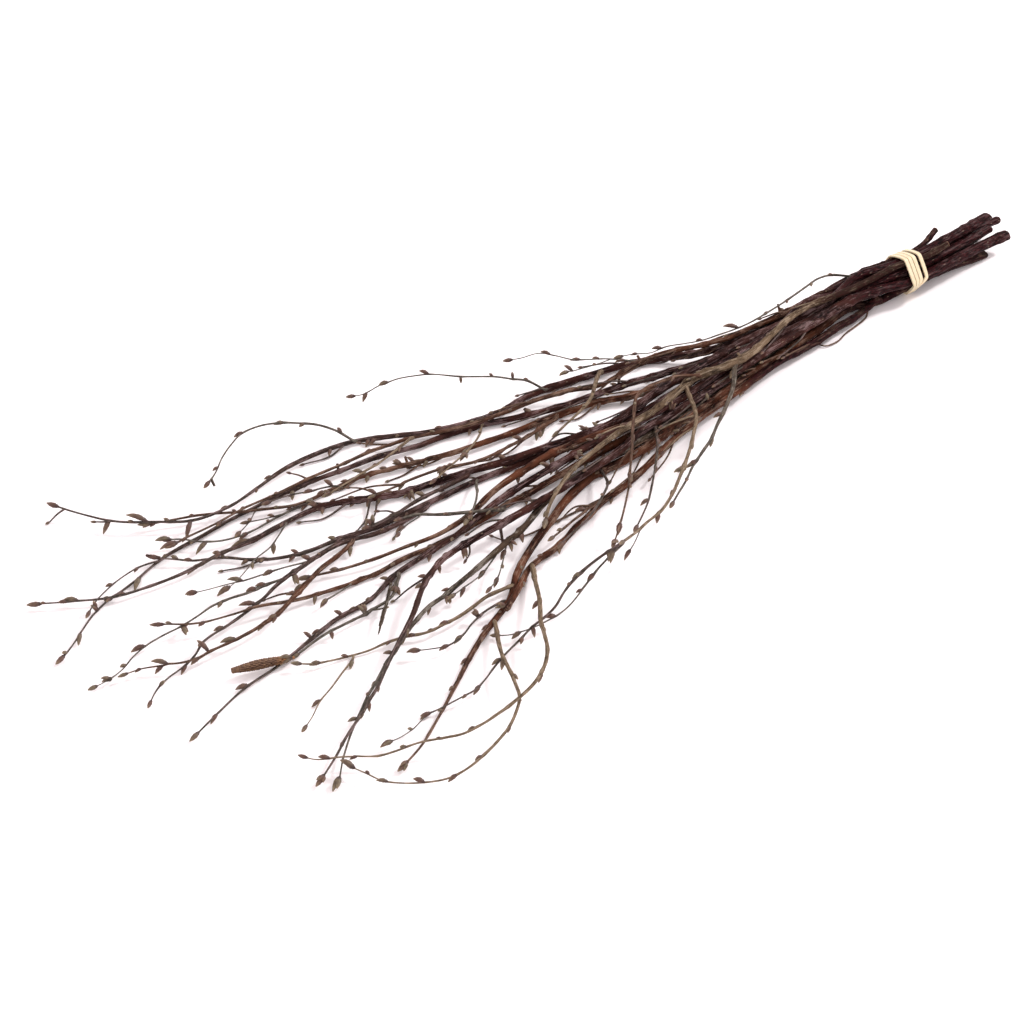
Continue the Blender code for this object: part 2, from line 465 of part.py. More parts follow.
class Heap:
    """All the twigs as chains of points, which are moved until none is inside another."""

    def __init__(self, runs, widths, forks):
        self.names = list(runs)
        self.first = {}
        total = 0
        for name in self.names:
            self.first[name] = total
            total += len(runs[name])
        self.place = np.concatenate([runs[name] for name in self.names])
        self.aim = self.place.copy()
        self.radius = np.concatenate([widths[name] for name in self.names]) / 2.0
        sight = self.place - EYE
        self.sight = sight / np.linalg.norm(sight, axis=1)[:, None]
        self.owner = np.concatenate([np.full(len(runs[name]), number)
                                     for number, name in enumerate(self.names)])
        self.segment = np.array([index for index in range(total - 1)
                                 if self.owner[index] == self.owner[index + 1]])
        self.inner = np.array([index for index in range(1, total - 1)
                               if self.owner[index - 1] == self.owner[index + 1]])
        self.forks = [self.fork(child, parent) for child, parent in forks.items()]
        along = (self.place - in_view(*TIE_PIXEL, TIE_HEIGHT)) @ AXIS
        self.tied = (self.owner < len(STEMS)) & (np.abs(along) < TIE_HOLD_REACH)
        self.floor = self.radius + TIE_ROOM_BELOW * self.tied

    def span(self, name):
        start = self.first[name]
        number = self.names.index(name)
        return np.arange(start, start + np.count_nonzero(self.owner == number))

    def fork(self, child, parent):
        """The child's root, with the parent's two points that it sits between in the view."""
        root = self.first[child]
        chain = self.span(parent)
        gaps = []
        for index in chain[:-1]:
            for part in np.linspace(0.0, 1.0, FORK_LOOKS):
                point = self.place[index] * (1.0 - part) + self.place[index + 1] * part
                offset = point - self.place[root]
                offset = offset - self.sight[root] * np.dot(offset, self.sight[root])
                gaps.append((np.linalg.norm(offset), index, part))
        closest = min(gaps)
        return root, closest[1], closest[2]

    def near_pairs(self):
        starts = self.place[self.segment]
        ends = self.place[self.segment + 1]
        middles = (starts + ends) / 2.0
        reach = np.linalg.norm(ends - starts, axis=1) / 2.0 + self.radius[self.segment]
        gaps = np.linalg.norm(middles[:, None] - middles[None], axis=2)
        near = gaps < reach[:, None] + reach[None] + PAIR_MARGIN
        near &= self.owner[self.segment][:, None] < self.owner[self.segment][None]
        first, second = np.nonzero(near)
        return self.segment[first], self.segment[second]

    def part_twigs(self, first, second, share, sideways):
        """Moves twigs that overlap apart by this share of what is short, half of it each."""
        on_a, on_b = nearest_on_segments(self.place[first], self.place[first + 1],
                                         self.place[second], self.place[second + 1])
        spot_a = self.place[first] + (self.place[first + 1] - self.place[first]) * on_a[:, None]
        spot_b = self.place[second] + (self.place[second + 1] - self.place[second]) * on_b[:, None]
        reach_a = self.radius[first] * (1.0 - on_a) + self.radius[first + 1] * on_a
        reach_b = self.radius[second] * (1.0 - on_b) + self.radius[second + 1] * on_b
        between = spot_a - spot_b
        gap = np.linalg.norm(between, axis=1)
        short = reach_a + reach_b + TOUCH_GAP - gap
        hit = short > 0.0
        if not hit.any():
            return
        between = between[hit] / np.maximum(gap[hit], TINY)[:, None]
        sight = self.sight[first[hit]]
        deep = np.einsum("ij,ij->i", between, sight)[:, None] * sight
        push = deep + sideways * (between - deep)
        push /= np.maximum(np.linalg.norm(push, axis=1), TINY)[:, None]
        push *= (share * short[hit] / 2.0)[:, None]
        for index, part, sign in ((first[hit], on_a[hit], 1.0), (second[hit], on_b[hit], -1.0)):
            lever = 1.0 / ((1.0 - part) ** 2 + part ** 2)
            np.add.at(self.place, index, sign * push * ((1.0 - part) * lever)[:, None])
            np.add.at(self.place, index + 1, sign * push * (part * lever)[:, None])

    def lift_off_table(self):
        self.place[:, 2] = np.maximum(self.place[:, 2], self.floor)

    def settle(self):
        for turn in range(SETTLE_ROUNDS):
            if turn % PAIRS_EVERY == 0:
                first, second = self.near_pairs()
            drift = self.aim - self.place
            deep = np.einsum("ij,ij->i", drift, self.sight)[:, None] * self.sight
            self.place += HOLD_PICTURE * (drift - deep) + HOLD_HEIGHT * deep
            self.place[self.tied] += HOLD_TIE * deep[self.tied]
            for root, index, part in self.forks:
                point = self.place[index] * (1.0 - part) + self.place[index + 1] * part
                self.place[root] += HOLD_FORK * (point - self.place[root])
            bend = (self.place[self.inner - 1] + self.place[self.inner + 1]) / 2.0
            own = (self.aim[self.inner - 1] + self.aim[self.inner + 1]) / 2.0
            wish = bend - self.place[self.inner] - (own - self.aim[self.inner])
            self.place[self.inner] += HOLD_SHAPE * wish
            self.part_twigs(first, second, PUSH_SHARE, PUSH_IN_PICTURE)
            self.lift_off_table()
        for turn in range(LAST_ROUNDS):
            if turn % PAIRS_EVERY == 0:
                first, second = self.near_pairs()
            self.part_twigs(first, second, LAST_PUSH_SHARE, 1.0)
            self.lift_off_table()


def thickness(count, widths, seed):
    """Widths from root to tip, uneven like grown wood."""
    rng = np.random.default_rng(seed)
    part = np.linspace(0.0, 1.0, count)
    width = np.interp(part, np.linspace(0.0, 1.0, len(widths)), widths)
    uneven = np.clip(UNEVEN * rng.standard_normal(count), -UNEVEN_MOST, UNEVEN_MOST)
    return width * (1.0 + uneven)


def surface(name, colour, roughness):
    made = bpy.data.materials.new(name)
    made.use_nodes = True
    shader = made.node_tree.nodes["Principled BSDF"]
    shader.inputs["Base Color"].default_value = (*colour, 1.0)
    shader.inputs["Roughness"].default_value = roughness
    shader.inputs["Metallic"].default_value = 0.0
    return made


def tube(name, points, radii, colour):
    curve = bpy.data.curves.new(name, "CURVE")
    curve.dimensions = "3D"
    curve.bevel_depth = METRES
    curve.bevel_resolution = TUBE_SIDES_SETTING
    curve.use_fill_caps = True
    spline = curve.splines.new("POLY")
    spline.points.add(len(points) - 1)
    for knot, point, radius in zip(spline.points, points, radii):
        knot.co = (*(point * METRES), 1.0)
        knot.radius = radius
    made = bpy.data.objects.new(name, curve)
    made.data.materials.append(surface(name + "_bark", colour, BARK_ROUGHNESS))
    bundle.objects.link(made)
    return made


def stems_across(heap, middle):
    """Place and radius of each stem where it crosses the tie's plane through this point."""
    found = []
    for name in STEMS:
        chain = heap.span(name)
        along = (heap.place[chain] - middle) @ AXIS
        for index, here, there in zip(chain, along, along[1:]):
            if here * there <= 0.0:
                part = here / (here - there)
                spot = heap.place[index] * (1.0 - part) + heap.place[index + 1] * part
                found.append((np.dot(spot, ASIDE), spot[2], max(heap.radius[index:index + 2])))
                break
    return found


class Waist:
    """The outline of the tied stems, as a band stretched round them would follow it."""

    def __init__(self, heap):
        self.foot = in_view(*TIE_PIXEL, TIE_HEIGHT)
        circles = []
        for reach in (-BAND_HALF_REACH, 0.0, BAND_HALF_REACH):
            circles += stems_across(heap, self.foot + AXIS * reach)
        self.centres = np.array([circle[:2] for circle in circles])
        self.reaches = np.array([circle[2] for circle in circles])
        self.middle = self.centres.mean(axis=0)

    def reach(self, angle):
        way = np.array([math.cos(angle), math.sin(angle)])
        return np.max((self.centres - self.middle) @ way + self.reaches)

    def outward(self, angle):
        return ASIDE * math.cos(angle) + np.array([0.0, 0.0, math.sin(angle)])

    def point(self, angle, along, lift):
        """The place on the outline whose outside faces this angle, lifted off the bark."""
        span = BAND_SLOPE_SPAN
        slope = (self.reach(angle + span) - self.reach(angle - span)) / (2.0 * span)
        out = self.reach(angle) + lift
        side = self.middle[0] + out * math.cos(angle) - slope * math.sin(angle)
        height = self.middle[1] + out * math.sin(angle) + slope * math.cos(angle)
        station = np.dot(self.foot, AXIS) + along
        return AXIS * station + ASIDE * side + np.array([0.0, 0.0, height])


def band_spread(angle):
    """1 where the strands fan out over the top, 0 where they bunch up."""
    away = abs(math.remainder(angle - BAND_BUNCH_ANGLE, 2.0 * math.pi))
    part = min(1.0, max(0.0, (away - BAND_BUNCH_HALF) / (BAND_FAN_HALF - BAND_BUNCH_HALF)))
    return part * part * (3.0 - 2.0 * part)


def band_pitch(angle):
    return BAND_TIGHT_PITCH + (BAND_WIDE_PITCH - BAND_TIGHT_PITCH) * band_spread(angle)


def hairpin(angle, here, there, bow):
    """The loop's turn at this angle from one strand to the strand beside it."""
    turning = np.linspace(0.0, math.pi, BAND_END_STEPS + 2)[1:-1]
    return [(angle, (here + there - (there - here) * math.cos(turn)) / 2.0, bow * math.sin(turn))
            for turn in turning]


def band_path():
    """Angle and strand number along the loop: out with strands 0 and 2, round a hairpin,
    back with strands 3 and 1, and round a hairpin again."""
    full = 2.0 * math.pi
    start = BAND_CHANGE_TO
    finish = BAND_CHANGE_FROM + 2.0 * full
    angles = np.linspace(start, finish, int(round((finish - start) / BAND_STEP)) + 1)
    change = (angles - BAND_CHANGE_FROM - full) / (BAND_CHANGE_TO - BAND_CHANGE_FROM)
    change = np.clip(change, 0.0, 1.0)
    strand = 2.0 * change * change * (3.0 - 2.0 * change)
    flat = np.zeros(len(angles))
    path = list(zip(angles, strand, flat)) + hairpin(finish, 2.0, 3.0, 1.0)
    return path + list(zip(angles[::-1], strand[::-1] + 1.0, flat)) + hairpin(start, 1.0, 0.0, -1.0)


def build_band(heap):
    waist = Waist(heap)
    centres = []
    sections = []
    for angle, strand, bow in band_path():
        pitch = band_pitch(angle)
        spread = band_spread(angle)
        along = (strand - (BAND_STRANDS - 1) / 2.0) * pitch
        along += BAND_LAST_STRAND_APART * spread * max(0.0, strand - (BAND_STRANDS - 2))
        along += BAND_BUNCH_SHIFT * (1.0 - spread)
        thick = BAND_THICKNESS + BAND_THICKENING * (1.0 - spread)
        bowed = angle + bow * pitch / 2.0 / waist.reach(angle)
        centres.append(waist.point(bowed, along, TOUCH_GAP + thick / 2.0))
        width = min(BAND_STRAND_WIDTH, pitch - BAND_STRAND_GAP)
        sections.append((waist.outward(bowed), width / 2.0, thick / 2.0))
    shape = bmesh.new()
    rings = []
    for step, (out, half_width, half_thick) in enumerate(sections):
        travel = centres[(step + 1) % len(centres)] - centres[step - 1]
        across = np.cross(out, travel)
        across /= np.linalg.norm(across)
        up = np.cross(travel, across)
        up /= np.linalg.norm(up)
        ring = []
        for side, over in ((-1, -1), (1, -1), (1, 1), (-1, 1)):
            corner = centres[step] + across * side * half_width + up * over * half_thick
            ring.append(shape.verts.new(corner * METRES))
        rings.append(ring)
    for here, there in zip(rings, rings[1:] + rings[:1]):
        for a, b in zip(range(4), (1, 2, 3, 0)):
            shape.faces.new((here[a], here[b], there[b], there[a]))
    bmesh.ops.recalc_face_normals(shape, faces=shape.faces)
    mesh = bpy.data.meshes.new("rubber_band")
    shape.to_mesh(mesh)
    shape.free()
    band = bpy.data.objects.new("rubber_band", mesh)
    mesh.materials.append(surface("rubber_cream", RUBBER_CREAM, RUBBER_ROUGHNESS))
    bundle.objects.link(band)
    return band


def stand_on_origin(pieces):
    """Moves the pieces so that the origin is at table height under the bundle's middle."""
    bpy.context.view_layer.update()
    graph = bpy.context.evaluated_depsgraph_get()
    corners = []
    for piece in pieces:
        mesh = piece.evaluated_get(graph).to_mesh()
        corners += [piece.matrix_world @ vertex.co for vertex in mesh.vertices]
    low = [min(corner[axis] for corner in corners) for axis in range(3)]
    high = [max(corner[axis] for corner in corners) for axis in range(3)]
    for piece in pieces:
        piece.location = (-(low[0] + high[0]) / 2.0, -(low[1] + high[1]) / 2.0, -low[2])


bundle = bpy.data.collections.new("twig_bundle")
bpy.context.scene.collection.children.link(bundle)

parts = {**STEMS, **TWIGS}
runs = {name: stem_run(stem) for name, stem in STEMS.items()}
for name, twig in TWIGS.items():
    runs[name] = even_run(raised(twig["route"], twig["rise"]), TWIG_STEP)
widths = {name: thickness(len(runs[name]), parts[name]["widths"], seed)
          for seed, name in enumerate(parts)}
forks = {name: twig["grows_from"] for name, twig in TWIGS.items()}

heap = Heap(runs, widths, forks)
heap.settle()

pieces = []
for name in parts:
    chain = heap.span(name)
    pieces.append(tube(name, heap.place[chain], heap.radius[chain], parts[name]["bark"]))
pieces.append(build_band(heap))
stand_on_origin(pieces)
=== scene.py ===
# A bundle of birch twigs, tied near its cut ends with a rubber band, on a white table.
import math

import bmesh
import bpy
import numpy as np
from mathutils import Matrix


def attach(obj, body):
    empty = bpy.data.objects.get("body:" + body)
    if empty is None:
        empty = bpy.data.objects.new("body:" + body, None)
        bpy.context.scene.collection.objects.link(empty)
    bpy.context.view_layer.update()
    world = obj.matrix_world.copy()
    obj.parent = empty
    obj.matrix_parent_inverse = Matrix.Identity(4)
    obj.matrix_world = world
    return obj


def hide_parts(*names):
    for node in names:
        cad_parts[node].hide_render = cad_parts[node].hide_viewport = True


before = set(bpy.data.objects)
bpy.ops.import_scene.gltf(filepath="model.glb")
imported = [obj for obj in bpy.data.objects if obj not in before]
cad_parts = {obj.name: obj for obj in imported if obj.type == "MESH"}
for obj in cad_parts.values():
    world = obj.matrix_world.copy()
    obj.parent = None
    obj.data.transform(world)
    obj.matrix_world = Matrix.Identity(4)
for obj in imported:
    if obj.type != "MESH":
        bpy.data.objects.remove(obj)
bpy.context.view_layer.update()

# The view
# The bundle is looked at from over its tips, through a long lens that hardly foreshortens
# it. Buds and knots further on are placed by the pixel where this view shows them.

# Sizes are in millimetres, turns in radians and shares of a length or a radius, unless a
# name or a comment says otherwise. A size times MM is in metres, for Blender.
MM = 0.001
VIEW_DISTANCE = 1453.5
VIEW_RISE = math.radians(42.0)
VIEW_TURN = math.radians(40.0)
LENS = 99.98
FILM_WIDTH = 36.0
PICTURE_WIDTH = 1024.0
PICTURE_MIDDLE = np.array([-63.16, -11.94, 0.63])

PIXELS_DEEP = LENS / FILM_WIDTH * PICTURE_WIDTH
AHEAD = np.array([math.sin(VIEW_TURN) * math.cos(VIEW_RISE),
                  math.cos(VIEW_TURN) * math.cos(VIEW_RISE),
                  -math.sin(VIEW_RISE)])
RIGHT = np.array([math.cos(VIEW_TURN), -math.sin(VIEW_TURN), 0.0])
UPWARD = np.cross(RIGHT, AHEAD)
EYE = PICTURE_MIDDLE - AHEAD * VIEW_DISTANCE

lens = bpy.data.cameras.new("view")
lens.lens = LENS
lens.sensor_width = FILM_WIDTH
lens.clip_start = 0.05
lens.clip_end = 20.0
camera = bpy.data.objects.new("view", lens)
camera.location = EYE * MM
camera.rotation_euler = (math.pi / 2.0 - VIEW_RISE, 0.0, -VIEW_TURN)
bpy.context.scene.collection.objects.link(camera)
bpy.context.scene.camera = camera


def unit(way):
    """The same direction with a length of one."""
    return way / np.linalg.norm(way)


def sight(pixel):
    """The direction in which the view shows this pixel."""
    return unit(AHEAD * PIXELS_DEEP + RIGHT * (pixel[0] - PICTURE_WIDTH / 2.0)
                - UPWARD * (pixel[1] - PICTURE_WIDTH / 2.0))


# The lines that the twigs grow along
# Each twig's solid is a row of rings. Their middles and radii are the wood's own line, which
# is read here, root end first, and drawn smooth. A maker would call it the twig's wire.
WELD = 0.001 * MM
RING_EDGE_MOST = 4.0 * MM
STEM_STEP = 1.8
TWIG_STEP = 1.3


def ring_chain(node):
    """Middles and radii of the rings of a twig's solid, from its root to its tip."""
    shape = bmesh.new()
    shape.from_mesh(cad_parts[node].data)
    bmesh.ops.remove_doubles(shape, verts=shape.verts, dist=WELD)
    shape.verts.index_update()
    ring_of = list(range(len(shape.verts)))
    short = [edge for edge in shape.edges if edge.calc_length() < RING_EDGE_MOST]
    long = [edge for edge in shape.edges if edge.calc_length() >= RING_EDGE_MOST]
    changed = True
    while changed:
        changed = False
        for edge in short:
            a, b = (vertex.index for vertex in edge.verts)
            if ring_of[a] != ring_of[b]:
                ring_of[a] = ring_of[b] = min(ring_of[a], ring_of[b])
                changed = True
    corners = {}
    for vertex in shape.verts:
        corners.setdefault(ring_of[vertex.index], []).append(np.array(vertex.co) / MM)
    beside = {ring: set() for ring in corners}
    for edge in long:
        a, b = (ring_of[vertex.index] for vertex in edge.verts)
        if a != b:
            beside[a].add(b)
            beside[b].add(a)
    shape.free()
    middles = {ring: np.mean(found, axis=0) for ring, found in corners.items()}
    ends = [ring for ring in beside if len(beside[ring]) == 1]
    chain = [max(ends, key=lambda ring: middles[ring][0])]
    while len(chain) < len(corners):
        chain.append(min(ring for ring in beside[chain[-1]] if ring not in chain))
    radii = [np.mean(np.linalg.norm(np.array(corners[ring]) - middles[ring], axis=1))
             for ring in chain]
    return np.array([middles[ring] for ring in chain]), np.array(radii)


def distances(points):
    """How far along the line each of its points is."""
    return np.concatenate([[0.0], np.cumsum(np.linalg.norm(np.diff(points, axis=0), axis=1))])


def smooth_line(values, step, fine=8):
    """Rows a step apart on a smooth curve through the given rows; a row is x, y, z, radius."""
    knots = np.concatenate([2.0 * values[:1] - values[1:2], values,
                            2.0 * values[-1:] - values[-2:-1]])
    drawn = []
    for a, b, c, d in zip(knots, knots[1:], knots[2:], knots[3:]):
        for part in np.arange(fine) / fine:
            drawn.append(b + 0.5 * part * (c - a + part * (2.0 * a - 5.0 * b + 4.0 * c - d
                                                           + part * (3.0 * (b - c) + d - a))))
    drawn = np.array(drawn + [values[-1]])
    along = distances(drawn[:, :3])
    marks = np.linspace(0.0, along[-1], max(4, int(round(along[-1] / step)) + 1))
    return np.stack([np.interp(marks, along, drawn[:, axis]) for axis in range(4)], axis=1)


twig_names = sorted(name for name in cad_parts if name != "rubber_band")
wires = {}
for name in twig_names:
    middles, radii = ring_chain(name)
    step = STEM_STEP if name.startswith("stem") else TWIG_STEP
    wires[name] = smooth_line(np.column_stack([middles, radii]), step)

# Buds, knots, spurs and twiglets
# Birch carries pointed buds of 5 to 8 mm in overlapping scales, one at each node, in turn
# left and right. Old nodes swell to knots, and short spurs carry buds in clusters.
BUD_LENGTH = 5.4
BUD_WIDTH = 2.5
TIP_BUD_LENGTH = 8.6
TIP_BUD_WIDTH = 2.9
BUD_BACK = 2.4
BUD_LEAST_HEIGHT = 1.0
PLACED_SIZE = 1.1
PLACED_LEAN = 0.15
LEAST_REACH = 0.1
BESIDE_COUNTS = 0.1
DEPTH_COUNTS = 0.01
NODE_APART = (15.0, 24.0)
NODE_CLEAR = 7.0
NODE_START = (6.0, 14.0)
NODE_END = 8.0
STOUT = 1.7
STOUT_APART = 1.5
STOUT_KNOTS = 0.45
KNOT_SIZE = 0.6
SMALL_BUD = (0.5, 0.8)
CROWD_FROM = -10.0
CROWD_TO = 165.0
CROWD_START = (8.0, 20.0)
CROWD_END = 40.0
CROWD_SHOOT = (13.0, 32.0)
CROWD_APART = (17.0, 30.0)
CROWD_DEGREES = (7.0, 15.0)
CROWD_BEND = 1.6
CROWD_BEND_AT = 0.4

# Pixels where the view shows a bud's middle
BUD_MIDDLES = [
    (161, 540), (167, 547), (65, 602), (222, 592), (220, 628), (184, 668), (195, 661), (245, 535),
    (273, 548), (245, 563), (293, 550), (294, 558), (268, 574), (336, 569), (368, 562), (262, 585),
    (252, 590), (291, 594), (263, 626), (316, 602), (325, 603), (353, 609), (319, 631), (333, 538),
    (315, 664), (318, 703), (386, 652), (389, 663), (375, 683), (370, 705), (354, 718), (325, 757),
    (382, 781), (347, 764), (420, 781), (452, 779), (386, 745), (443, 648), (459, 640), (412, 652),
    (463, 592), (418, 586), (440, 567), (482, 574), (497, 580), (486, 627), (466, 660), (478, 688),
    (503, 663), (497, 662), (537, 603), (541, 676), (550, 616), (535, 635), (517, 636), (523, 540),
    (467, 558), (560, 552), (612, 500), (577, 575), (590, 578), (583, 510), (678, 470), (645, 502),
    (712, 440), (719, 415), (658, 348), (621, 361), (564, 374), (568, 367), (545, 353), (577, 360),
    (365, 400), (384, 383), (424, 373), (440, 428), (445, 475), (502, 456), (368, 445), (270, 477),
    (225, 508), (240, 434), (279, 424), (781, 309), (336, 785), (158, 671), (250, 610), (430, 560),
    (616, 385), (624, 401), (599, 411), (591, 419), (626, 425), (688, 423), (678, 431), (663, 436),
    (650, 449), (542, 431), (470, 435), (408, 457), (517, 438), (543, 432), (537, 437), (556, 416),
    (425, 467), (402, 487), (519, 480), (515, 475), (509, 502), (553, 471), (611, 496), (504, 553),
    (474, 572), (700, 372), (716, 360), (733, 372), (684, 384), (668, 399), (656, 411), (705, 393),
    (724, 388), (742, 391), (664, 447), (604, 455), (587, 463), (572, 447), (633, 436), (383, 468),
    (365, 474), (346, 481), (391, 493), (379, 503), (352, 498), (420, 494), (437, 484), (309, 491),
    (358, 472), (367, 484), (328, 483), (309, 484), (324, 493), (304, 508), (371, 491), (338, 505),
    (354, 504), (369, 505), (324, 518), (306, 558), (300, 588), (384, 578), (386, 585), (398, 590),
    (419, 576), (412, 636), (444, 624), (351, 664), (187, 560),
    (330, 457), (401, 528), (372, 444), (446, 590), (338, 612), (300, 628), (404, 640), (430, 611)]
# Buds, each from the pixel of its node to the pixel of its point
BUDS_FROM_TO = [
    ((110, 522), (103, 534)), ((148, 522), (126, 515)), ((192, 520), (186, 540)),
    ((139, 577), (134, 590)), ((79, 633), (79, 646)), ((145, 646), (131, 652)),
    ((243, 580), (227, 579)), ((259, 605), (239, 606)), ((210, 652), (197, 641)),
    ((236, 636), (220, 642)), ((167, 665), (151, 662)), ((156, 684), (166, 681)),
    ((248, 686), (235, 690)), ((218, 713), (211, 724)), ((253, 541), (231, 547)),
    ((433, 714), (420, 719)), ((622, 522), (618, 535)), ((693, 461), (686, 468)),
    ((738, 328), (723, 326)), ((460, 377), (461, 383)), ((512, 378), (512, 371)),
    ((331, 631), (333, 640)), ((350, 545), (350, 557)), ((612, 549), (610, 563)),
    ((628, 552), (624, 560)), ((659, 514), (657, 524)), ((595, 441), (586, 439)),
    ((531, 410), (523, 409)), ((500, 452), (501, 461)), ((523, 534), (523, 543)),
    ((560, 544), (559, 553)), ((610, 553), (611, 562)), ((683, 466), (678, 473)),
    ((696, 460), (688, 467)), ((621, 373), (617, 378)), ((448, 496), (439, 496)),
    ((513, 495), (505, 495)), ((443, 470), (439, 478)), ((445, 463), (442, 469)),
    ((470, 449), (461, 459)), ((583, 505), (577, 512)), ((636, 393), (632, 399)),
    ((206, 543), (196, 555)), ((202, 565), (187, 575)), ((196, 593), (185, 595)),
    ((293, 492), (292, 500)), ((78, 603), (63, 600))]
# Short spurs with a cluster of buds, then swollen old nodes
CLUSTERS = [
    (140, 525), (113, 598), (183, 627), (112, 677), (222, 553), (262, 561), (296, 575), (277, 615),
    (365, 610), (448, 597), (477, 614), (465, 452), (317, 781), (506, 606), (402, 766),
    (553, 458), (549, 466), (541, 434), (410, 493), (445, 468), (502, 509), (511, 543), (631, 473),
    (467, 552), (613, 545), (470, 513), (588, 431), (640, 428), (672, 412), (707, 402), (612, 443),
    (575, 455), (527, 498), (400, 462), (330, 492), (372, 520), (317, 506), (397, 587), (96, 607),
    (411, 496), (604, 470), (648, 436)]
KNOTS = [
    (157, 559), (307, 555), (355, 583), (350, 535), (378, 756), (341, 760), (415, 618), (531, 572),
    (535, 577), (428, 735), (508, 706), (863, 270), (969, 218), (820, 302), (884, 265), (878, 299),
    (758, 349), (738, 370), (705, 376), (690, 397), (703, 347), (741, 356), (722, 352), (150, 587),
    (795, 345), (963, 230), (610, 411), (640, 404), (560, 430), (361, 530), (415, 517), (392, 517),
    (345, 461), (374, 571), (363, 584), (838, 335), (684, 470), (600, 470), (560, 392), (650, 372)]
# Snapped side shoots, from node to end, and fine shoots, each by the pixels on its route
STUBS_FROM_TO = [
    ((871, 291), (868, 287)), ((849, 303), (845, 299)), ((818, 330), (818, 337)),
    ((621, 379), (618, 386)), ((527, 414), (525, 408)), ((407, 462), (405, 456)),
    ((502, 532), (503, 545)), ((641, 362), (637, 355)), ((213, 480), (215, 486)),
    ((337, 470), (337, 463)), ((158, 558), (146, 555)), ((338, 540), (331, 538)),
    ((778, 311), (778, 304)), ((742, 358), (737, 353))]
TWIGLETS = [
    [(66, 511), (58, 514), (50, 522)], [(112, 521), (104, 522), (97, 522)],
    [(265, 563), (245, 567), (224, 571)], [(297, 590), (281, 594), (266, 599)],
    [(346, 449), (329, 457), (305, 464)], [(309, 479), (300, 476), (292, 474)],
    [(372, 507), (366, 519), (358, 530)], [(380, 505), (375, 514), (368, 522)],
    [(395, 512), (388, 511), (380, 511)], [(350, 512), (325, 518), (302, 522)],
    [(474, 548), (470, 553), (467, 559)], [(400, 482), (368, 487), (335, 499)],
    [(872, 312), (866, 317), (857, 325), (846, 333), (838, 341), (826, 346), (818, 344)],
    [(697, 415), (688, 417), (672, 423), (660, 429)], [(652, 448), (640, 460), (634, 472)],
    [(632, 448), (622, 460), (611, 480)], [(508, 443), (492, 459), (471, 463), (459, 466)],
    [(543, 498), (520, 502), (500, 507)], [(818, 337), (800, 341), (785, 343), (775, 345)],
    [(619, 490), (583, 508), (555, 522), (532, 533), (520, 537), (504, 540), (494, 537)],
    [(600, 476), (578, 492), (564, 508)], [(560, 470), (540, 486), (520, 495)],
    [(640, 400), (615, 415), (600, 421)], [(600, 405), (580, 418), (565, 421)],
    [(690, 366), (668, 371), (650, 380)], [(580, 425), (560, 434), (545, 446)],
    [(530, 440), (510, 452), (494, 458)], [(450, 452), (430, 463), (412, 467)],
    [(480, 474), (462, 478), (444, 489)], [(425, 462), (405, 474), (390, 480)],
    [(360, 477), (343, 489), (325, 493)], [(330, 503), (310, 503), (292, 508)],
    [(540, 482), (520, 488), (505, 500)], [(505, 517), (488, 522), (470, 533)],
    [(465, 534), (447, 538), (432, 545)], [(590, 500), (574, 507), (560, 520)],
    [(720, 402), (700, 413), (683, 428)], [(760, 362), (738, 374), (722, 388)],
    [(700, 428), (680, 437), (664, 452)], [(790, 340), (770, 352), (752, 369)],
    [(770, 322), (748, 334), (732, 345)], [(727, 340), (708, 353), (690, 357)],
    [(411, 520), (401, 527), (395, 537)], [(375, 490), (363, 489), (351, 488)],
    [(390, 442), (372, 444), (362, 443)], [(422, 570), (409, 588), (395, 600)],
    [(372, 611), (378, 610), (383, 609)], [(792, 349), (778, 358), (761, 367), (749, 377)]]

bearers = [name for name in twig_names if name not in ("catkin", "twig_frayed")]
bearer_rows = np.concatenate([wires[name] for name in bearers])
bearer_owner = np.concatenate([[name] * len(wires[name]) for name in bearers])
bearer_along = np.concatenate([distances(wires[name][:, :3]) for name in bearers])
growths = {name: [] for name in twig_names}


def carrier(pixel):
    """The twig that the view shows at this pixel, or the one beside it, and how far along."""
    way = sight(pixel)
    reach = bearer_rows[:, :3] - EYE
    deep = reach @ way
    beside = np.linalg.norm(reach - deep[:, None] * way, axis=1)
    missed = np.maximum(beside - bearer_rows[:, 3], 0.0)
    found = np.argmin(missed + BESIDE_COUNTS * beside + DEPTH_COUNTS * deep)
    return bearer_owner[found], bearer_along[found]


def on_wire(name, along):
    """Place, direction and radius at this distance along a twig."""
    wire = wires[name]
    reach = distances(wire[:, :3])
    along = min(max(along, 0.0), reach[-1])
    row = np.array([np.interp(along, reach, wire[:, axis]) for axis in range(4)])
    near = min(int(np.searchsorted(reach, along)), len(wire) - 2)
    return row[:3], unit(wire[near + 1, :3] - wire[near, :3]), row[3]


def seen_at(pixel, base):
    """The place that this pixel shows, as deep in the view as base, but over the table."""
    way = sight(pixel)
    place = EYE + way * (np.dot(base - EYE, AHEAD) / np.dot(way, AHEAD))
    lift = max(0.0, BUD_LEAST_HEIGHT - place[2])
    return place + way * (lift / way[2])


def aside(way, dice):
    """A random direction across this one."""
    lean = dice.normal(size=3)
    return unit(lean - way * np.dot(lean, way))


def note(kind, name, along, tip=None, size=1.0):
    """Keeps what grows on a twig, and where, for when the twig is grown."""
    growths[name].append(dict(kind=kind, along=along, tip=tip, size=size))


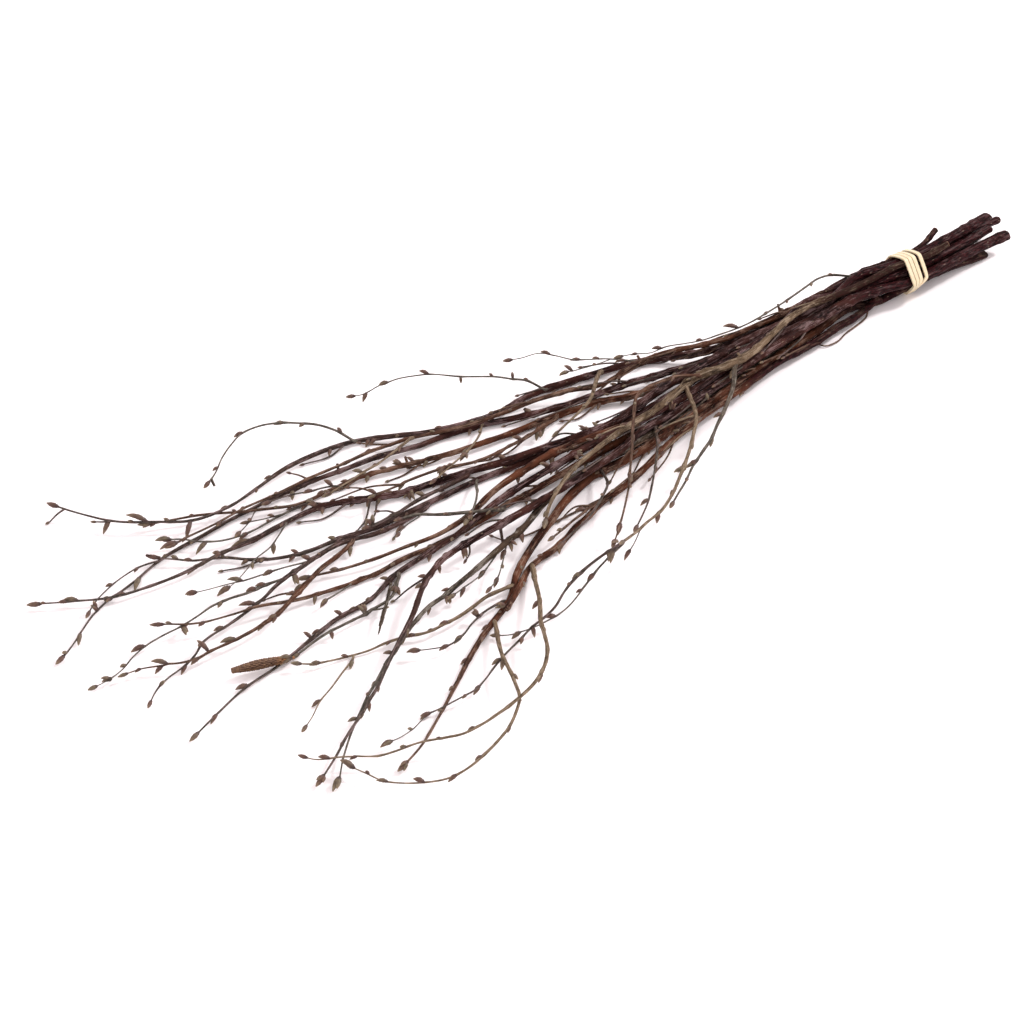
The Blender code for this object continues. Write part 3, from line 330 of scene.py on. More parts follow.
for pixel in BUD_MIDDLES:
    name, along = carrier(pixel)
    start = max(0.0, along - BUD_BACK)
    base, way, _ = on_wire(name, start)
    through = seen_at(pixel, base) - base
    through += way * PLACED_LEAN * np.linalg.norm(through)
    lean = through / max(np.linalg.norm(through), LEAST_REACH)
    note("bud", name, start, base + lean * BUD_LENGTH)
for start_pixel, tip_pixel in BUDS_FROM_TO:
    name, along = carrier(start_pixel)
    note("bud", name, along, seen_at(tip_pixel, on_wire(name, along)[0]), PLACED_SIZE)
for pixel in CLUSTERS:
    name, along = carrier(pixel)
    note("cluster", name, along, seen_at(pixel, on_wire(name, along)[0]))
for pixel in KNOTS:
    note("knot", *carrier(pixel))
for start_pixel, tip_pixel in STUBS_FROM_TO:
    name, along = carrier(start_pixel)
    note("stub", name, along, seen_at(tip_pixel, on_wire(name, along)[0]))
for route in TWIGLETS:
    name, along = carrier(route[0])
    base = on_wire(name, along)[0]
    note("twiglet", name, along, [seen_at(pixel, base) for pixel in route])

# Buds that the view doesn't single out, on every twig that has a bare stretch
chance = np.random.default_rng(41)
for name in bearers:
    reach = distances(wires[name][:, :3])[-1]
    along = chance.uniform(*NODE_START)
    while along < reach - NODE_END:
        radius = on_wire(name, along)[2]
        taken = [abs(found["along"] - along) for found in growths[name]]
        if not taken or min(taken) > NODE_CLEAR:
            if radius > STOUT and chance.uniform() < STOUT_KNOTS:
                note("knot", name, along, size=KNOT_SIZE)
            else:
                note("bud", name, along, size=chance.uniform(*SMALL_BUD))
        along += chance.uniform(*NODE_APART) * (STOUT_APART if radius > STOUT else 1.0)

# Fine shoots that run beside the stems where the bundle is thickest
for name in bearers:
    if not name.startswith("stem"):
        continue
    along = chance.uniform(*CROWD_START)
    while along < distances(wires[name][:, :3])[-1] - CROWD_END:
        base, way, _ = on_wire(name, along)
        if CROWD_FROM < base[0] < CROWD_TO:
            lean = aside(way, chance)
            reach = chance.uniform(*CROWD_SHOOT)
            slope = math.radians(chance.uniform(*CROWD_DEGREES))
            bend = way + lean * math.tan(slope * CROWD_BEND)
            route = [base, base + bend * reach * CROWD_BEND_AT,
                     base + (way + lean * math.tan(slope)) * reach]
            for place in route:
                place[2] = max(place[2], BUD_LEAST_HEIGHT)
            note("twiglet", name, along, route)
        along += chance.uniform(*CROWD_APART)

# Growing a twig
# The wood is drawn ring by ring with a kink and a swelling at each node, then its buds. A
# branch starts in a collar inside its bearer. A stem starts at its cut: a slanted wood face.

# Thin wood is drawn a little thinner than its solid, as the view shows it
THIN_WOOD = (0.45, 1.6)
THIN_SHARE = (0.80, 1.0)
TWIG_SLIM = 0.9
OLD_RADIUS = 2.4
# Length over which a stem's darker end fades into the rest of its bark
DARK_END_FADE = 50.0
SIDES_THICK = 14
SIDES_THIN = 9
THICK_FROM = 1.6
ACROSS = (0.05, 0.1, 1.0)
TONE_SHIFT = 97.0
SHARP_FROM = math.radians(55.0)
TABLE_CLEAR = 0.05
# What a face of a piece wears, by the order of the piece's materials
SKIN, WOOD, BUD = range(3)
# Kinks, lumps and bumps, which are stronger on thin wood
KINK = 0.30
KINK_RADIUS = 0.9
KINK_RANGE = (0.2, 1.3)
LUMPS = 0.028
LUMP_WAVES = (2, 3, 5)
LUMP_LENGTH = 8.0
LUMP_TURN = 3.0
LUMP_TURN_LENGTH = 30.0
BUMPS = 0.060
BUMP_LENGTH = 3.0
BUMP_RADIUS = 1.2
BUMP_RANGE = (0.3, 1.3)
# How much a node swells the wood, and how far along it
SWELL = {"knot": 0.34, "cluster": 0.4, "bud": 0.24, "stub": 0.3, "twiglet": 0.12}
SWELL_VARIES = (0.7, 1.2)
SWELL_REACH = 1.1
SWELL_REACH_MORE = 0.7
SWELL_BEHIND = 1.6
SWELL_LEAST = 0.7
# The collar of a branch, and the cut of a stem
COLLAR_RINGS = 7
COLLAR_BACK = 1.3
COLLAR_FLARE = 1.35
COLLAR_MOST = 0.92
CUT_DEPTHS = (0.02, 0.03, 0.05, 0.35)
CUT_RADII = (0.25, 0.62, 0.9, 1.0)
CUT_SLOPE = (0.10, 0.50)
CUT_FADE = 4.0
# Buds, spurs, stubs and twiglets
TIP_UNDER = 0.75
TIP_SHARE = 0.25
TIP_LAP = 0.75
TIP_PAST = 0.1
TIP_VARIES = (0.85, 1.05)
BUD_SIDES = 8
BUD_FLAT = 0.86
BUD_BOW = 0.12
BUD_DEGREES = (18.0, 38.0)
BUD_VARIES = (0.85, 1.1)
BUD_THINNEST = 0.35
BUD_LENGTHENS = 0.65
BUD_WIDEST = 1.15
NEAR_TABLE = 3.0
SPUR_LENGTH = 1.2
SPUR_LEAN = 0.45
SPUR_STRAIGHT = 0.5
SPUR_LEAST = 0.8
SPUR_RADII = (0.9, 1.15, 1.05, 0.5)
SPUR_BELLY = 0.6
SPUR_NOSE = 0.8
SPUR_AGE = 0.4
CLUSTER_BUDS = 4
CLUSTER_SWAY = 0.5
CLUSTER_ROOT = 0.6
CLUSTER_LENGTH = (0.4, 0.75)
CLUSTER_VARIES = (0.75, 1.0)
STUB_AT = (0.0, 0.5, 0.96, 1.0)
STUB_RADII = (0.95, 0.75, 0.72, 0.5)
STUB_AGE = 0.5
SPUR_SIDES = 8
TWIGLET_RADII = (0.62, 0.38)
TWIGLET_SIDES = 7
TWIGLET_AGE = 0.28
TWIGLET_BUD_LENGTH = 3.2
TWIGLET_BUD_WIDTH = 1.6
BUD_PROFILE = [(0.0, 0.46), (0.08, 0.54), (0.16, 0.84), (0.22, 0.78), (0.34, 1.0), (0.46, 1.04),
               (0.52, 0.93), (0.66, 0.88), (0.77, 0.70), (0.82, 0.58), (0.93, 0.35), (1.0, 0.14)]


def across_line(points):
    """Two directions across the line at each point, which turn as little as they can."""
    ahead = np.gradient(points, axis=0)
    ahead /= np.linalg.norm(ahead, axis=1)[:, None]
    side = np.cross(ahead[0], ACROSS)
    turned = []
    for way in ahead:
        side = unit(side - way * np.dot(side, way))
        turned.append(side)
    turned = np.array(turned)
    return turned, np.cross(ahead, turned)


def wander(along, wave, dice):
    """A smooth random swing between about -1 and 1, with this wavelength."""
    knots = np.arange(along.min() - wave, along.max() + 2.0 * wave, wave)
    swings = dice.uniform(-1.0, 1.0, len(knots))
    part = (along - knots[0]) / wave
    low = np.floor(part).astype(int)
    ease = part - low
    ease = ease * ease * (3.0 - 2.0 * ease)
    return swings[low] * (1.0 - ease) + swings[low + 1] * ease


class Growth:
    """One piece's mesh, put together from closed lofts. Each point keeps where it lies in
    the grain (mm round and along the twig), its age and its tone, for the materials."""

    def __init__(self, name):
        self.name = name
        self.places = []
        self.grains = []
        self.ages = []
        self.tones = []
        self.faces = []
        self.coats = []
        self.count = 0

    def loft(self, points, radii, sides, age, tone, coat, flat=1.0, cut=0):
        """A closed round body along the points. Its first spans, as many as cut, show wood."""
        points = np.asarray(points, dtype=float)
        rows = len(points)
        side, over = across_line(points)
        radii = np.asarray(radii, dtype=float).reshape(rows, -1) * np.ones(sides)
        turn = np.linspace(0.0, 2.0 * math.pi, sides, endpoint=False)
        x = radii * np.cos(turn)
        y = radii * np.sin(turn) * flat
        rings = points[:, None] + side[:, None] * x[..., None] + over[:, None] * y[..., None]
        along = distances(points)[:, None] + TONE_SHIFT * tone + np.zeros(sides)
        grain = np.stack([x, y, along], axis=2)
        age = np.broadcast_to(np.reshape(age, (-1, 1)), (rows, sides))
        poles = np.array([rings[0].mean(axis=0), rings[-1].mean(axis=0)])
        pole_grain = np.array([[0.0, 0.0, along[0, 0]], [0.0, 0.0, along[-1, 0]]])
        self.places += [rings.reshape(-1, 3), poles]
        self.grains += [grain.reshape(-1, 3), pole_grain]
        self.ages += [age.ravel(), age[[0, -1], 0]]
        self.tones.append(np.full(rows * sides + 2, tone))
        index = self.count + np.arange(rows * sides).reshape(rows, sides)
        beyond = np.roll(index, -1, axis=1)
        quads = np.stack([index[:-1], beyond[:-1], beyond[1:], index[1:]], axis=2)
        first = self.count + rows * sides
        self.faces += quads.reshape(-1, 4).tolist()
        spans = [WOOD if row < cut else coat for row in range(rows - 1)]
        self.coats += np.repeat(spans, sides).tolist()
        self.faces += [(first, int(b), int(a)) for a, b in zip(index[0], beyond[0])]
        self.faces += [(first + 1, int(a), int(b)) for a, b in zip(index[-1], beyond[-1])]
        self.coats += [WOOD if cut else coat] * sides + [coat] * sides
        self.count += rows * sides + 2

    def bud(self, base, tip, width, tone, sag=BUD_BOW):
        """A bud in its scales, with a short stalk, a belly and a point."""
        parts = np.array(BUD_PROFILE)
        reach = tip - base
        bow = np.array([0.0, 0.0, sag]) * np.linalg.norm(reach)
        points = base + parts[:, :1] * reach + np.sin(parts[:, :1] * math.pi) * bow
        self.loft(points, parts[:, 1] * width / 2.0, BUD_SIDES, parts[:, 0], tone, BUD, flat=BUD_FLAT)

    def piece(self, coats):
        """The mesh as an object that wears these materials."""
        places = np.concatenate(self.places)
        places[:, 2] = np.maximum(places[:, 2], TABLE_CLEAR)
        mesh = bpy.data.meshes.new(self.name)
        mesh.from_pydata((places * MM).tolist(), [], self.faces)
        for coat in coats:
            mesh.materials.append(coat)
        mesh.polygons.foreach_set("material_index", self.coats)
        grain = mesh.attributes.new("grain", "FLOAT_VECTOR", "POINT")
        grain.data.foreach_set("vector", np.concatenate(self.grains).ravel())
        for title, values in (("age", self.ages), ("tone", self.tones)):
            kept = mesh.attributes.new(title, "FLOAT", "POINT")
            kept.data.foreach_set("value", np.concatenate(values).ravel())
        mesh.shade_smooth()
        mesh.set_sharp_from_angle(angle=SHARP_FROM)
        made = bpy.data.objects.new(self.name, mesh)
        bpy.context.scene.collection.objects.link(made)
        return made


def knotted(row, radius, found, dice):
    """How much the nodes swell the wood, at each distance along it."""
    swell = np.zeros(len(row))
    for growth in found:
        strength = SWELL[growth["kind"]]
        strength *= dice.uniform(*SWELL_VARIES) * min(1.0, growth["size"])
        spread = SWELL_REACH + SWELL_REACH_MORE * dice.uniform()
        before = np.minimum(row - growth["along"], 0.0) / (spread * SWELL_BEHIND)
        after = np.maximum(row - growth["along"], 0.0) / spread
        swell += strength * np.exp(-before ** 2 - after ** 2) / max(SWELL_LEAST, radius ** 0.5)
    return swell


def kink(wire, row, found, dice):
    """Pushes the wire to one side and the other, in turn, at its nodes."""
    side, over = across_line(wire[:, :3])
    marks = [0.0] + [growth["along"] for growth in found] + [row[-1] + 1.0]
    lean = dice.uniform(0.0, 2.0 * math.pi)
    swing = np.array([0.0] + [(-1.0) ** turn for turn in range(len(found))] + [0.0])
    reach = KINK * np.clip(KINK_RADIUS / wire[:, 3], *KINK_RANGE) * np.interp(row, marks, swing)
    wire[:, :3] += (side * math.cos(lean) + over * math.sin(lean)) * reach[:, None]


def wood_radii(wire, row, sides, found, dice):
    """The radius at each point of each ring, with lumps, bumps and swollen nodes."""
    turn = np.linspace(0.0, 2.0 * math.pi, sides, endpoint=False)
    relief = np.zeros((len(row), sides))
    for waves in LUMP_WAVES:
        phase = LUMP_TURN * wander(row, LUMP_TURN_LENGTH, dice)
        height = LUMPS * (1.0 + wander(row, LUMP_LENGTH, dice))
        relief += height[:, None] * np.cos(waves * turn + phase[:, None])
    thinness = np.clip(BUMP_RADIUS / wire[:, 3], *BUMP_RANGE)
    relief += (BUMPS * wander(row, BUMP_LENGTH, dice) * thinness)[:, None]
    swell = knotted(row, wire[:, 3].mean(), found, dice)
    return wire[:, 3:] * (1.0 + relief + swell[:, None])


def nearest_on(wire, point):
    """Where a wire passes closest to a point: the place, its direction and its radius."""
    near = int(np.argmin(np.linalg.norm(wire[:, :3] - point, axis=1)))
    near = min(max(near, 1), len(wire) - 2)
    return wire[near, :3], unit(wire[near + 1, :3] - wire[near - 1, :3]), wire[near, 3]


def collared(points, radii, age, root, bearer):
    """The wood with a collar before it, which starts inside the twig that bears it."""
    base, way, thick = nearest_on(wires[bearer], points[0])
    inward = base - way * (thick + root) * COLLAR_BACK
    parts = np.linspace(0.0, 1.0, COLLAR_RINGS)[:-1, None]
    bend = points[0] - unit(points[1] - points[0]) * thick
    collar = (inward * (1.0 - parts) ** 2 + bend * 2.0 * parts * (1.0 - parts)
              + points[0] * parts ** 2)
    flare = 1.0 + (COLLAR_FLARE - 1.0) * (1.0 - parts) ** 0.5
    limit = np.minimum(root * flare, thick * COLLAR_MOST)
    return (np.concatenate([collar, points]),
            np.concatenate([limit * (radii[0] / radii[0].mean()), radii]),
            np.concatenate([np.full(len(parts), age[0]), age]))


def cut_off(points, radii, age, out):
    """The wood with the close rings of a cut face at its root."""
    return (np.concatenate([points[0] - out * np.reshape(CUT_DEPTHS, (-1, 1)), points[1:]]),
            np.concatenate([np.reshape(CUT_RADII, (-1, 1)) * radii[0], radii[1:]]),
            np.concatenate([np.full(len(CUT_DEPTHS), age[0]), age[1:]]))


def slant(made, out, slope, facing, radius):
    """Leans a stem's cut face, as shears leave it."""
    places = made.places[0]
    side = unit(np.cross(out, ACROSS))
    lean = side * math.cos(facing) + np.cross(out, side) * math.sin(facing)
    for body in made.places[:2]:
        offset = body - places[0]
        depth = np.clip(1.0 + (offset @ out) / CUT_FADE, 0.0, 1.0)
        near = np.linalg.norm(offset, axis=1) < CUT_FADE + radius
        body += out * (slope * ((offset @ lean) - radius) * depth * near)[:, None]


def grow_side(made, name, growth, points, dice):
    """A bud, a cluster, a stub or a twiglet on its node."""
    wired, way, radius = on_wire(name, growth["along"])
    near = int(np.argmin(np.linalg.norm(points - wired, axis=1)))
    base = points[near]
    moved = base - wired
    moved -= way * np.dot(moved, way)
    kind = growth["kind"]
    tone = dice.uniform()
    size = growth["size"]
    if kind == "bud":
        if growth["tip"] is None:
            lean = aside(way, dice)
            slope = math.radians(dice.uniform(*BUD_DEGREES))
            lean[2] = abs(lean[2]) if base[2] < NEAR_TABLE else lean[2]
            tip = base + (way * math.cos(slope) + lean * math.sin(slope)) * BUD_LENGTH * size
            tip[2] = max(tip[2], BUD_LEAST_HEIGHT)
        else:
            tip = growth["tip"] + moved
        reach = np.linalg.norm(tip - base)
        wide = BUD_WIDTH * min(BUD_WIDEST, BUD_THINNEST + BUD_LENGTHENS * reach / BUD_LENGTH)
        made.bud(base, tip, wide * dice.uniform(*BUD_VARIES), tone)
    elif kind == "cluster":
        lean = growth["tip"] + moved - base
        reach = np.linalg.norm(lean)
        lean = way * SPUR_STRAIGHT if reach < SPUR_LEAST else lean / reach
        middle = unit(way * SPUR_LEAN + lean)
        spur = base + middle * (SPUR_LENGTH + radius)
        made.loft([base, base + (spur - base) * SPUR_BELLY, spur, spur + middle * SPUR_NOSE],
                  SPUR_RADII, SPUR_SIDES, SPUR_AGE, tone, SKIN)
        for _ in range(CLUSTER_BUDS):
            aim = unit(middle + dice.normal(size=3) * CLUSTER_SWAY)
            tip = spur + aim * BUD_LENGTH * dice.uniform(*CLUSTER_LENGTH)
            tip[2] = max(tip[2], BUD_LEAST_HEIGHT)
            wide = BUD_WIDTH * dice.uniform(*CLUSTER_VARIES)
            made.bud(base + middle * CLUSTER_ROOT, tip, wide, dice.uniform())
    elif kind == "stub":
        tip = growth["tip"] + moved
        made.loft([base + (tip - base) * part for part in STUB_AT],
                  STUB_RADII, SPUR_SIDES, STUB_AGE, tone, SKIN)
    elif kind == "twiglet":
        route = np.array([base] + [place + moved for place in growth["tip"][1:]])
        thick = np.linspace(*TWIGLET_RADII, len(route))
        line = smooth_line(np.column_stack([route, thick]), TWIG_STEP)
        made.loft(line[:, :3], line[:, 3], TWIGLET_SIDES, TWIGLET_AGE, tone, SKIN)
        tip = line[-1, :3] + (line[-1, :3] - line[-2, :3]) / TWIG_STEP * TWIGLET_BUD_LENGTH
        tip[2] = max(tip[2], BUD_LEAST_HEIGHT)
        made.bud(line[-1, :3], tip, TWIGLET_BUD_WIDTH, tone, 0.0)


def grow(name, coats, bearer=None, dark_end=0.0):
    """A twig with its nodes, buds and side growths, from its collar or its cut to its tip."""
    dice = np.random.default_rng(sum(name.encode()))
    stem = name.startswith("stem")
    wire = wires[name].copy()
    wire[:, 3] *= np.interp(wire[:, 3], THIN_WOOD, THIN_SHARE)
    if name.startswith("twig"):
        wire[:, 3] *= TWIG_SLIM
    row = distances(wire[:, :3])
    found = sorted(growths[name], key=lambda growth: growth["along"])
    kink(wire, row, found, dice)
    sides = SIDES_THICK if wire[:, 3].max() > THICK_FROM else SIDES_THIN
    radii = wood_radii(wire, row, sides, found, dice)
    points = wire[:, :3]
    age = np.clip(wire[:, 3] / OLD_RADIUS, 0.0, 1.0)
    # Over a stretch from the cut end the age rises past 1, which gives the bark its darker end
    # colour.
    if dark_end:
        age += np.interp(row, (dark_end, dark_end + DARK_END_FADE), (1.0, 0.0))
    tone = dice.uniform()
    tip_length = 0.0
    if points[-1, 0] < points[0, 0] and wire[-1, 3] < TIP_UNDER:
        tip_length = min(TIP_BUD_LENGTH if stem else BUD_LENGTH, row[-1] * TIP_SHARE)
    keep = row <= row[-1] - tip_length * TIP_LAP
    points, radii, age = points[keep], radii[keep], age[keep]
    made = Growth(name + "_wood")
    if bearer:
        points, radii, age = collared(points, radii, age, wire[0, 3], bearer)
        made.loft(points, radii, sides, age, tone, SKIN)
    else:
        slope = dice.uniform(*CUT_SLOPE)
        facing = dice.uniform(0.0, 2.0 * math.pi)
        out = unit(points[0] - points[1])
        points, radii, age = cut_off(points, radii, age, out)
        made.loft(points, radii, sides, age, tone, SKIN, cut=len(CUT_DEPTHS) - 1)
        slant(made, out, slope, facing, wire[0, 3])
    if tip_length:
        tip = wire[-1, :3] + (wire[-1, :3] - wire[-3, :3]) * TIP_PAST
        tip[2] = max(tip[2], BUD_LEAST_HEIGHT)
        wide = TIP_BUD_WIDTH if stem else BUD_WIDTH
        made.bud(points[-1], tip, wide * dice.uniform(*TIP_VARIES), dice.uniform(), 0.0)
    for growth in found:
        grow_side(made, name, growth, points, dice)
    return made.piece(coats)


# The dark stems and their side twigs
# Young birch wood under a thin, tight bark of plum brown. The bark is smooth and a little
# waxy, with fine cracks along it, darkened as painted shade, grey film where it lifts, painted
# pale as painted highlights too, and pale lenticels.

# The cracks are about 0.2 mm apart. They are drawn coarser and deeper, so that they show.
FIBRE = 0.55
FIBRE_STRETCH = 0.16
CRACK_DEPTH = 0.4 * MM
BLOTCH = 11.0
FILM_AND_HIGHLIGHT_PATCH = 5.0
PATCH_STRETCH = 0.45
RIBBON = 0.6
RIBBON_STRETCH = 0.05
LENTICEL_APART = 2.6
BARK_SHEEN = 0.03
# Share of the young colour left in the cracks of thin wood: painted shade in them
YOUNG_CRACK_SHADE = 0.42
# Share of the film, with its painted highlight, left on a stem's darker end
DARK_END_FILM_AND_HIGHLIGHT = 0.4
DARK_LENGTH = 80.0
DARK_SHOOTS = {
    "stem_far": None, "stem_second": None, "stem_fourth": None, "stem_fifth": None,
    "stem_forked": None, "stem_thick": None, "twig_slant": "twig_tan_fork",
    "twig_fourth_side": "stem_fourth", "twig_low_tip": "stem_second",
    "twig_small_drop": "stem_third", "twig_left_long": "stem_fifth",
    "twig_dark_bend": "stem_near", "twig_front_drop": "stem_thick",
    "twig_front_arch": "stem_near", "twig_low_run": "twig_tan_drop"}
COLOURS = {"data_type": "RGBA"}


def paint(code):
    """An sRGB hex colour as the linear colour that a shader takes."""
    parts = [int(code[start:start + 2], 16) / 255.0 for start in (1, 3, 5)]
    return (*(part / 12.92 if part <= 0.04045 else ((part + 0.055) / 1.055) ** 2.4
              for part in parts), 1.0)


def add(tree, kind, settings=(), inputs=()):
    """Adds a node, sets its properties, and sets or links its inputs."""
    node = tree.nodes.new("ShaderNode" + kind)
    for title, value in dict(settings).items():
        setattr(node, title, value)
    for socket, value in dict(inputs).items():
        if isinstance(value, bpy.types.NodeSocket):
            tree.links.new(value, node.inputs[socket])
        else:
            node.inputs[socket].default_value = value
    return node


def blank(title, roughness, ior=1.5):
    """A material with nothing but its shader, and that shader."""
    made = bpy.data.materials.new(title)
    made.use_nodes = True
    shader = made.node_tree.nodes["Principled BSDF"]
    shader.inputs["Roughness"].default_value = roughness
    shader.inputs["IOR"].default_value = ior
    return made, made.node_tree, shader


def bark(title, deep, middle, light, young, film_and_highlight, speck, gloss, dark_end=None):
    """Bark: deep cracks along the grain between the middle and light tones of the bark, the dark
    in them painted shade over the bark's darker grain; dull film where it lifts, painted pale
    also as painted highlights along the stems; and specks for lenticels. Thin wood has the young
    colour, and a stretch from a stem's cut end a darker colour, with less film."""
    made, tree, shader = blank(title, gloss)
    shader.inputs["Specular IOR Level"].default_value = BARK_SHEEN
    grain = add(tree, "Attribute", {"attribute_name": "grain"}).outputs["Vector"]
    age = add(tree, "Attribute", {"attribute_name": "age"}).outputs["Fac"]
    long_way = add(tree, "Mapping", (), {"Vector": grain,
                                         "Scale": (1.0, 1.0, FIBRE_STRETCH)}).outputs[0]
    half_way = add(tree, "Mapping", (), {"Vector": grain,
                                         "Scale": (1.0, 1.0, PATCH_STRETCH)}).outputs[0]
    fibres = add(tree, "TexNoise", (), {"Vector": long_way, "Scale": 1.0 / FIBRE,
                                        "Detail": 4.0, "Roughness": 0.62}).outputs["Fac"]
    blotch = add(tree, "TexNoise", (), {"Vector": half_way, "Scale": 1.0 / BLOTCH,
                                        "Detail": 3.0, "Roughness": 0.6}).outputs["Fac"]
    patch = add(tree, "TexNoise", (), {"Vector": half_way, "Scale": 1.0 / FILM_AND_HIGHLIGHT_PATCH,
                                       "Detail": 5.0, "Roughness": 0.7,
                                       "Distortion": 0.6}).outputs["Fac"]
    dots = add(tree, "TexVoronoi", (), {"Vector": half_way, "Scale": 1.0 / LENTICEL_APART,
                                        "Randomness": 0.9}).outputs["Distance"]
    ribbons = add(tree, "Mapping", (), {"Vector": grain,
                                        "Scale": (1.0, 1.0, RIBBON_STRETCH)}).outputs[0]
    ribbon = add(tree, "TexNoise", (), {"Vector": ribbons, "Scale": 1.0 / RIBBON,
                                        "Detail": 5.0, "Roughness": 0.7}).outputs["Fac"]
    streak = add(tree, "MapRange", (), {0: fibres, 1: 0.43, 2: 0.58}).outputs[0]
    broad = add(tree, "MapRange", (), {0: blotch, 1: 0.42, 2: 0.64, 4: 0.85}).outputs[0]
    # Patches of lifted grey film, which also stand in for painted highlights along the stems
    film_and_highlight_patches = add(tree, "Math", {"operation": "MULTIPLY"}, {0: ribbon, 1: patch}).outputs[0]
    film_and_highlight_mask = add(tree, "MapRange", (), {0: film_and_highlight_patches, 1: 0.26, 2: 0.34, 4: 0.62}).outputs[0]
    dotted = add(tree, "MapRange", (), {0: dots, 1: 0.15, 2: 0.08, 4: 0.40}).outputs[0]
    worn = add(tree, "MapRange", (), {0: age, 1: 0.18, 2: 0.66, 3: 0.95, 4: 0.0}).outputs[0]
    # The deep colour in the cracks is painted shade in them, over the bark's own darker grain.
    mixed = add(tree, "Mix", COLOURS, {0: streak, 6: paint(deep), 7: paint(middle)})
    mixed = add(tree, "Mix", COLOURS, {0: broad, 6: mixed.outputs[2], 7: paint(light)})
    # A darker copy of the young colour, as painted shade in the cracks of thin wood
    painted_crack_shade = (*(part * YOUNG_CRACK_SHADE for part in paint(young)[:3]), 1.0)
    faded = add(tree, "Mix", COLOURS, {0: streak, 6: painted_crack_shade, 7: paint(young)})
    mixed = add(tree, "Mix", COLOURS, {0: worn, 6: mixed.outputs[2], 7: faded.outputs[2]})
    # Over a stretch from a stem's cut end: the darker end colour, with less of the film and its
    # painted highlight.
    if dark_end:
        dark_end_colour = add(tree, "Mix", COLOURS, {0: streak, 6: paint(deep), 7: paint(dark_end)})
        kept = add(tree, "Math", {"operation": "MULTIPLY_ADD"}, {0: streak, 1: 0.3, 2: age})
        kept = add(tree, "MapRange", (), {0: kept.outputs[0], 1: 1.25, 2: 1.6}).outputs[0]
        less_film_and_highlight = add(tree, "MapRange", (), {0: kept, 3: 1.0, 4: DARK_END_FILM_AND_HIGHLIGHT}).outputs[0]
        film_and_highlight_mask = add(tree, "Math", {"operation": "MULTIPLY"}, {0: film_and_highlight_mask, 1: less_film_and_highlight}).outputs[0]
        mixed = add(tree, "Mix", COLOURS, {0: kept, 6: mixed.outputs[2], 7: dark_end_colour.outputs[2]})
    # The film colour: the bark's grey film, painted pale also as a painted highlight
    mixed = add(tree, "Mix", COLOURS, {0: film_and_highlight_mask, 6: mixed.outputs[2], 7: paint(film_and_highlight)})
    mixed = add(tree, "Mix", COLOURS, {0: dotted, 6: mixed.outputs[2], 7: paint(speck)})
    tree.links.new(mixed.outputs[2], shader.inputs["Base Color"])
    rough = add(tree, "MapRange", (), {0: patch, 1: 0.35, 2: 0.65, 3: gloss - 0.08, 4: gloss + 0.16})
    tree.links.new(rough.outputs[0], shader.inputs["Roughness"])
    lifted = add(tree, "Math", {"operation": "MULTIPLY_ADD"}, {0: dotted, 1: 0.6, 2: fibres})
    bump = add(tree, "Bump", (), {"Height": lifted.outputs[0], "Strength": 1.0,
                                  "Distance": CRACK_DEPTH})
    tree.links.new(bump.outputs[0], shader.inputs["Normal"])
    return made


# Year rings 0.7 mm apart, crossed by rays, round a pith of 1 mm
RING_RADIANS = 9.0
RAY_WIDTH = 0.6
RAY_DEPTH = 0.3 * MM
PITH_EDGE = 0.55
PITH_HEART = 0.35


def cut_wood():
    """Birch end grain: brown rings 0.7 mm apart round a dark pith, with dirty patches, which
    make the cut look dull and old."""
    made, tree, shader = blank("birch_end_grain", 0.8)
    grain = add(tree, "Attribute", {"attribute_name": "grain"}).outputs["Vector"]
    flat = add(tree, "VectorMath", {"operation": "MULTIPLY"}, {0: grain, 1: (1.0, 1.0, 0.0)})
    out = add(tree, "VectorMath", {"operation": "LENGTH"}, {0: flat.outputs[0]}).outputs["Value"]
    rays = add(tree, "TexNoise", (), {"Vector": flat.outputs[0], "Scale": 1.0 / RAY_WIDTH,
                                      "Detail": 4.0}).outputs["Fac"]
    swing = add(tree, "Math", {"operation": "MULTIPLY"}, {0: out, 1: RING_RADIANS})
    ring = add(tree, "Math", {"operation": "SINE"}, {0: swing.outputs[0]})
    shade = add(tree, "MapRange", (), {0: ring.outputs[0], 1: -1.0, 2: 1.0, 3: 0.0, 4: 0.45})
    wood = add(tree, "Mix", COLOURS, {0: shade.outputs[0], 6: paint("#9a7452"), 7: paint("#6b4a34")})
    dirty = add(tree, "MapRange", (), {0: rays, 1: 0.40, 2: 0.62, 3: 0.0, 4: 0.7})
    wood = add(tree, "Mix", COLOURS, {0: dirty.outputs[0], 6: wood.outputs[2], 7: paint("#5c3a2c")})
    pith = add(tree, "MapRange", (), {0: out, 1: PITH_EDGE, 2: PITH_HEART, 3: 0.0, 4: 0.85})
    wood = add(tree, "Mix", COLOURS, {0: pith.outputs[0], 6: wood.outputs[2], 7: paint("#3a2118")})
    tree.links.new(wood.outputs[2], shader.inputs["Base Color"])
    bump = add(tree, "Bump", (), {"Height": rays, "Strength": 0.8, "Distance": RAY_DEPTH})
    tree.links.new(bump.outputs[0], shader.inputs["Normal"])
    return made


# A bud scale's veins are finer than 0.2 mm. They are drawn coarser, so that they show.
VEIN = 0.5
VEIN_STRETCH = 0.25
VEIN_DEPTH = 0.2 * MM


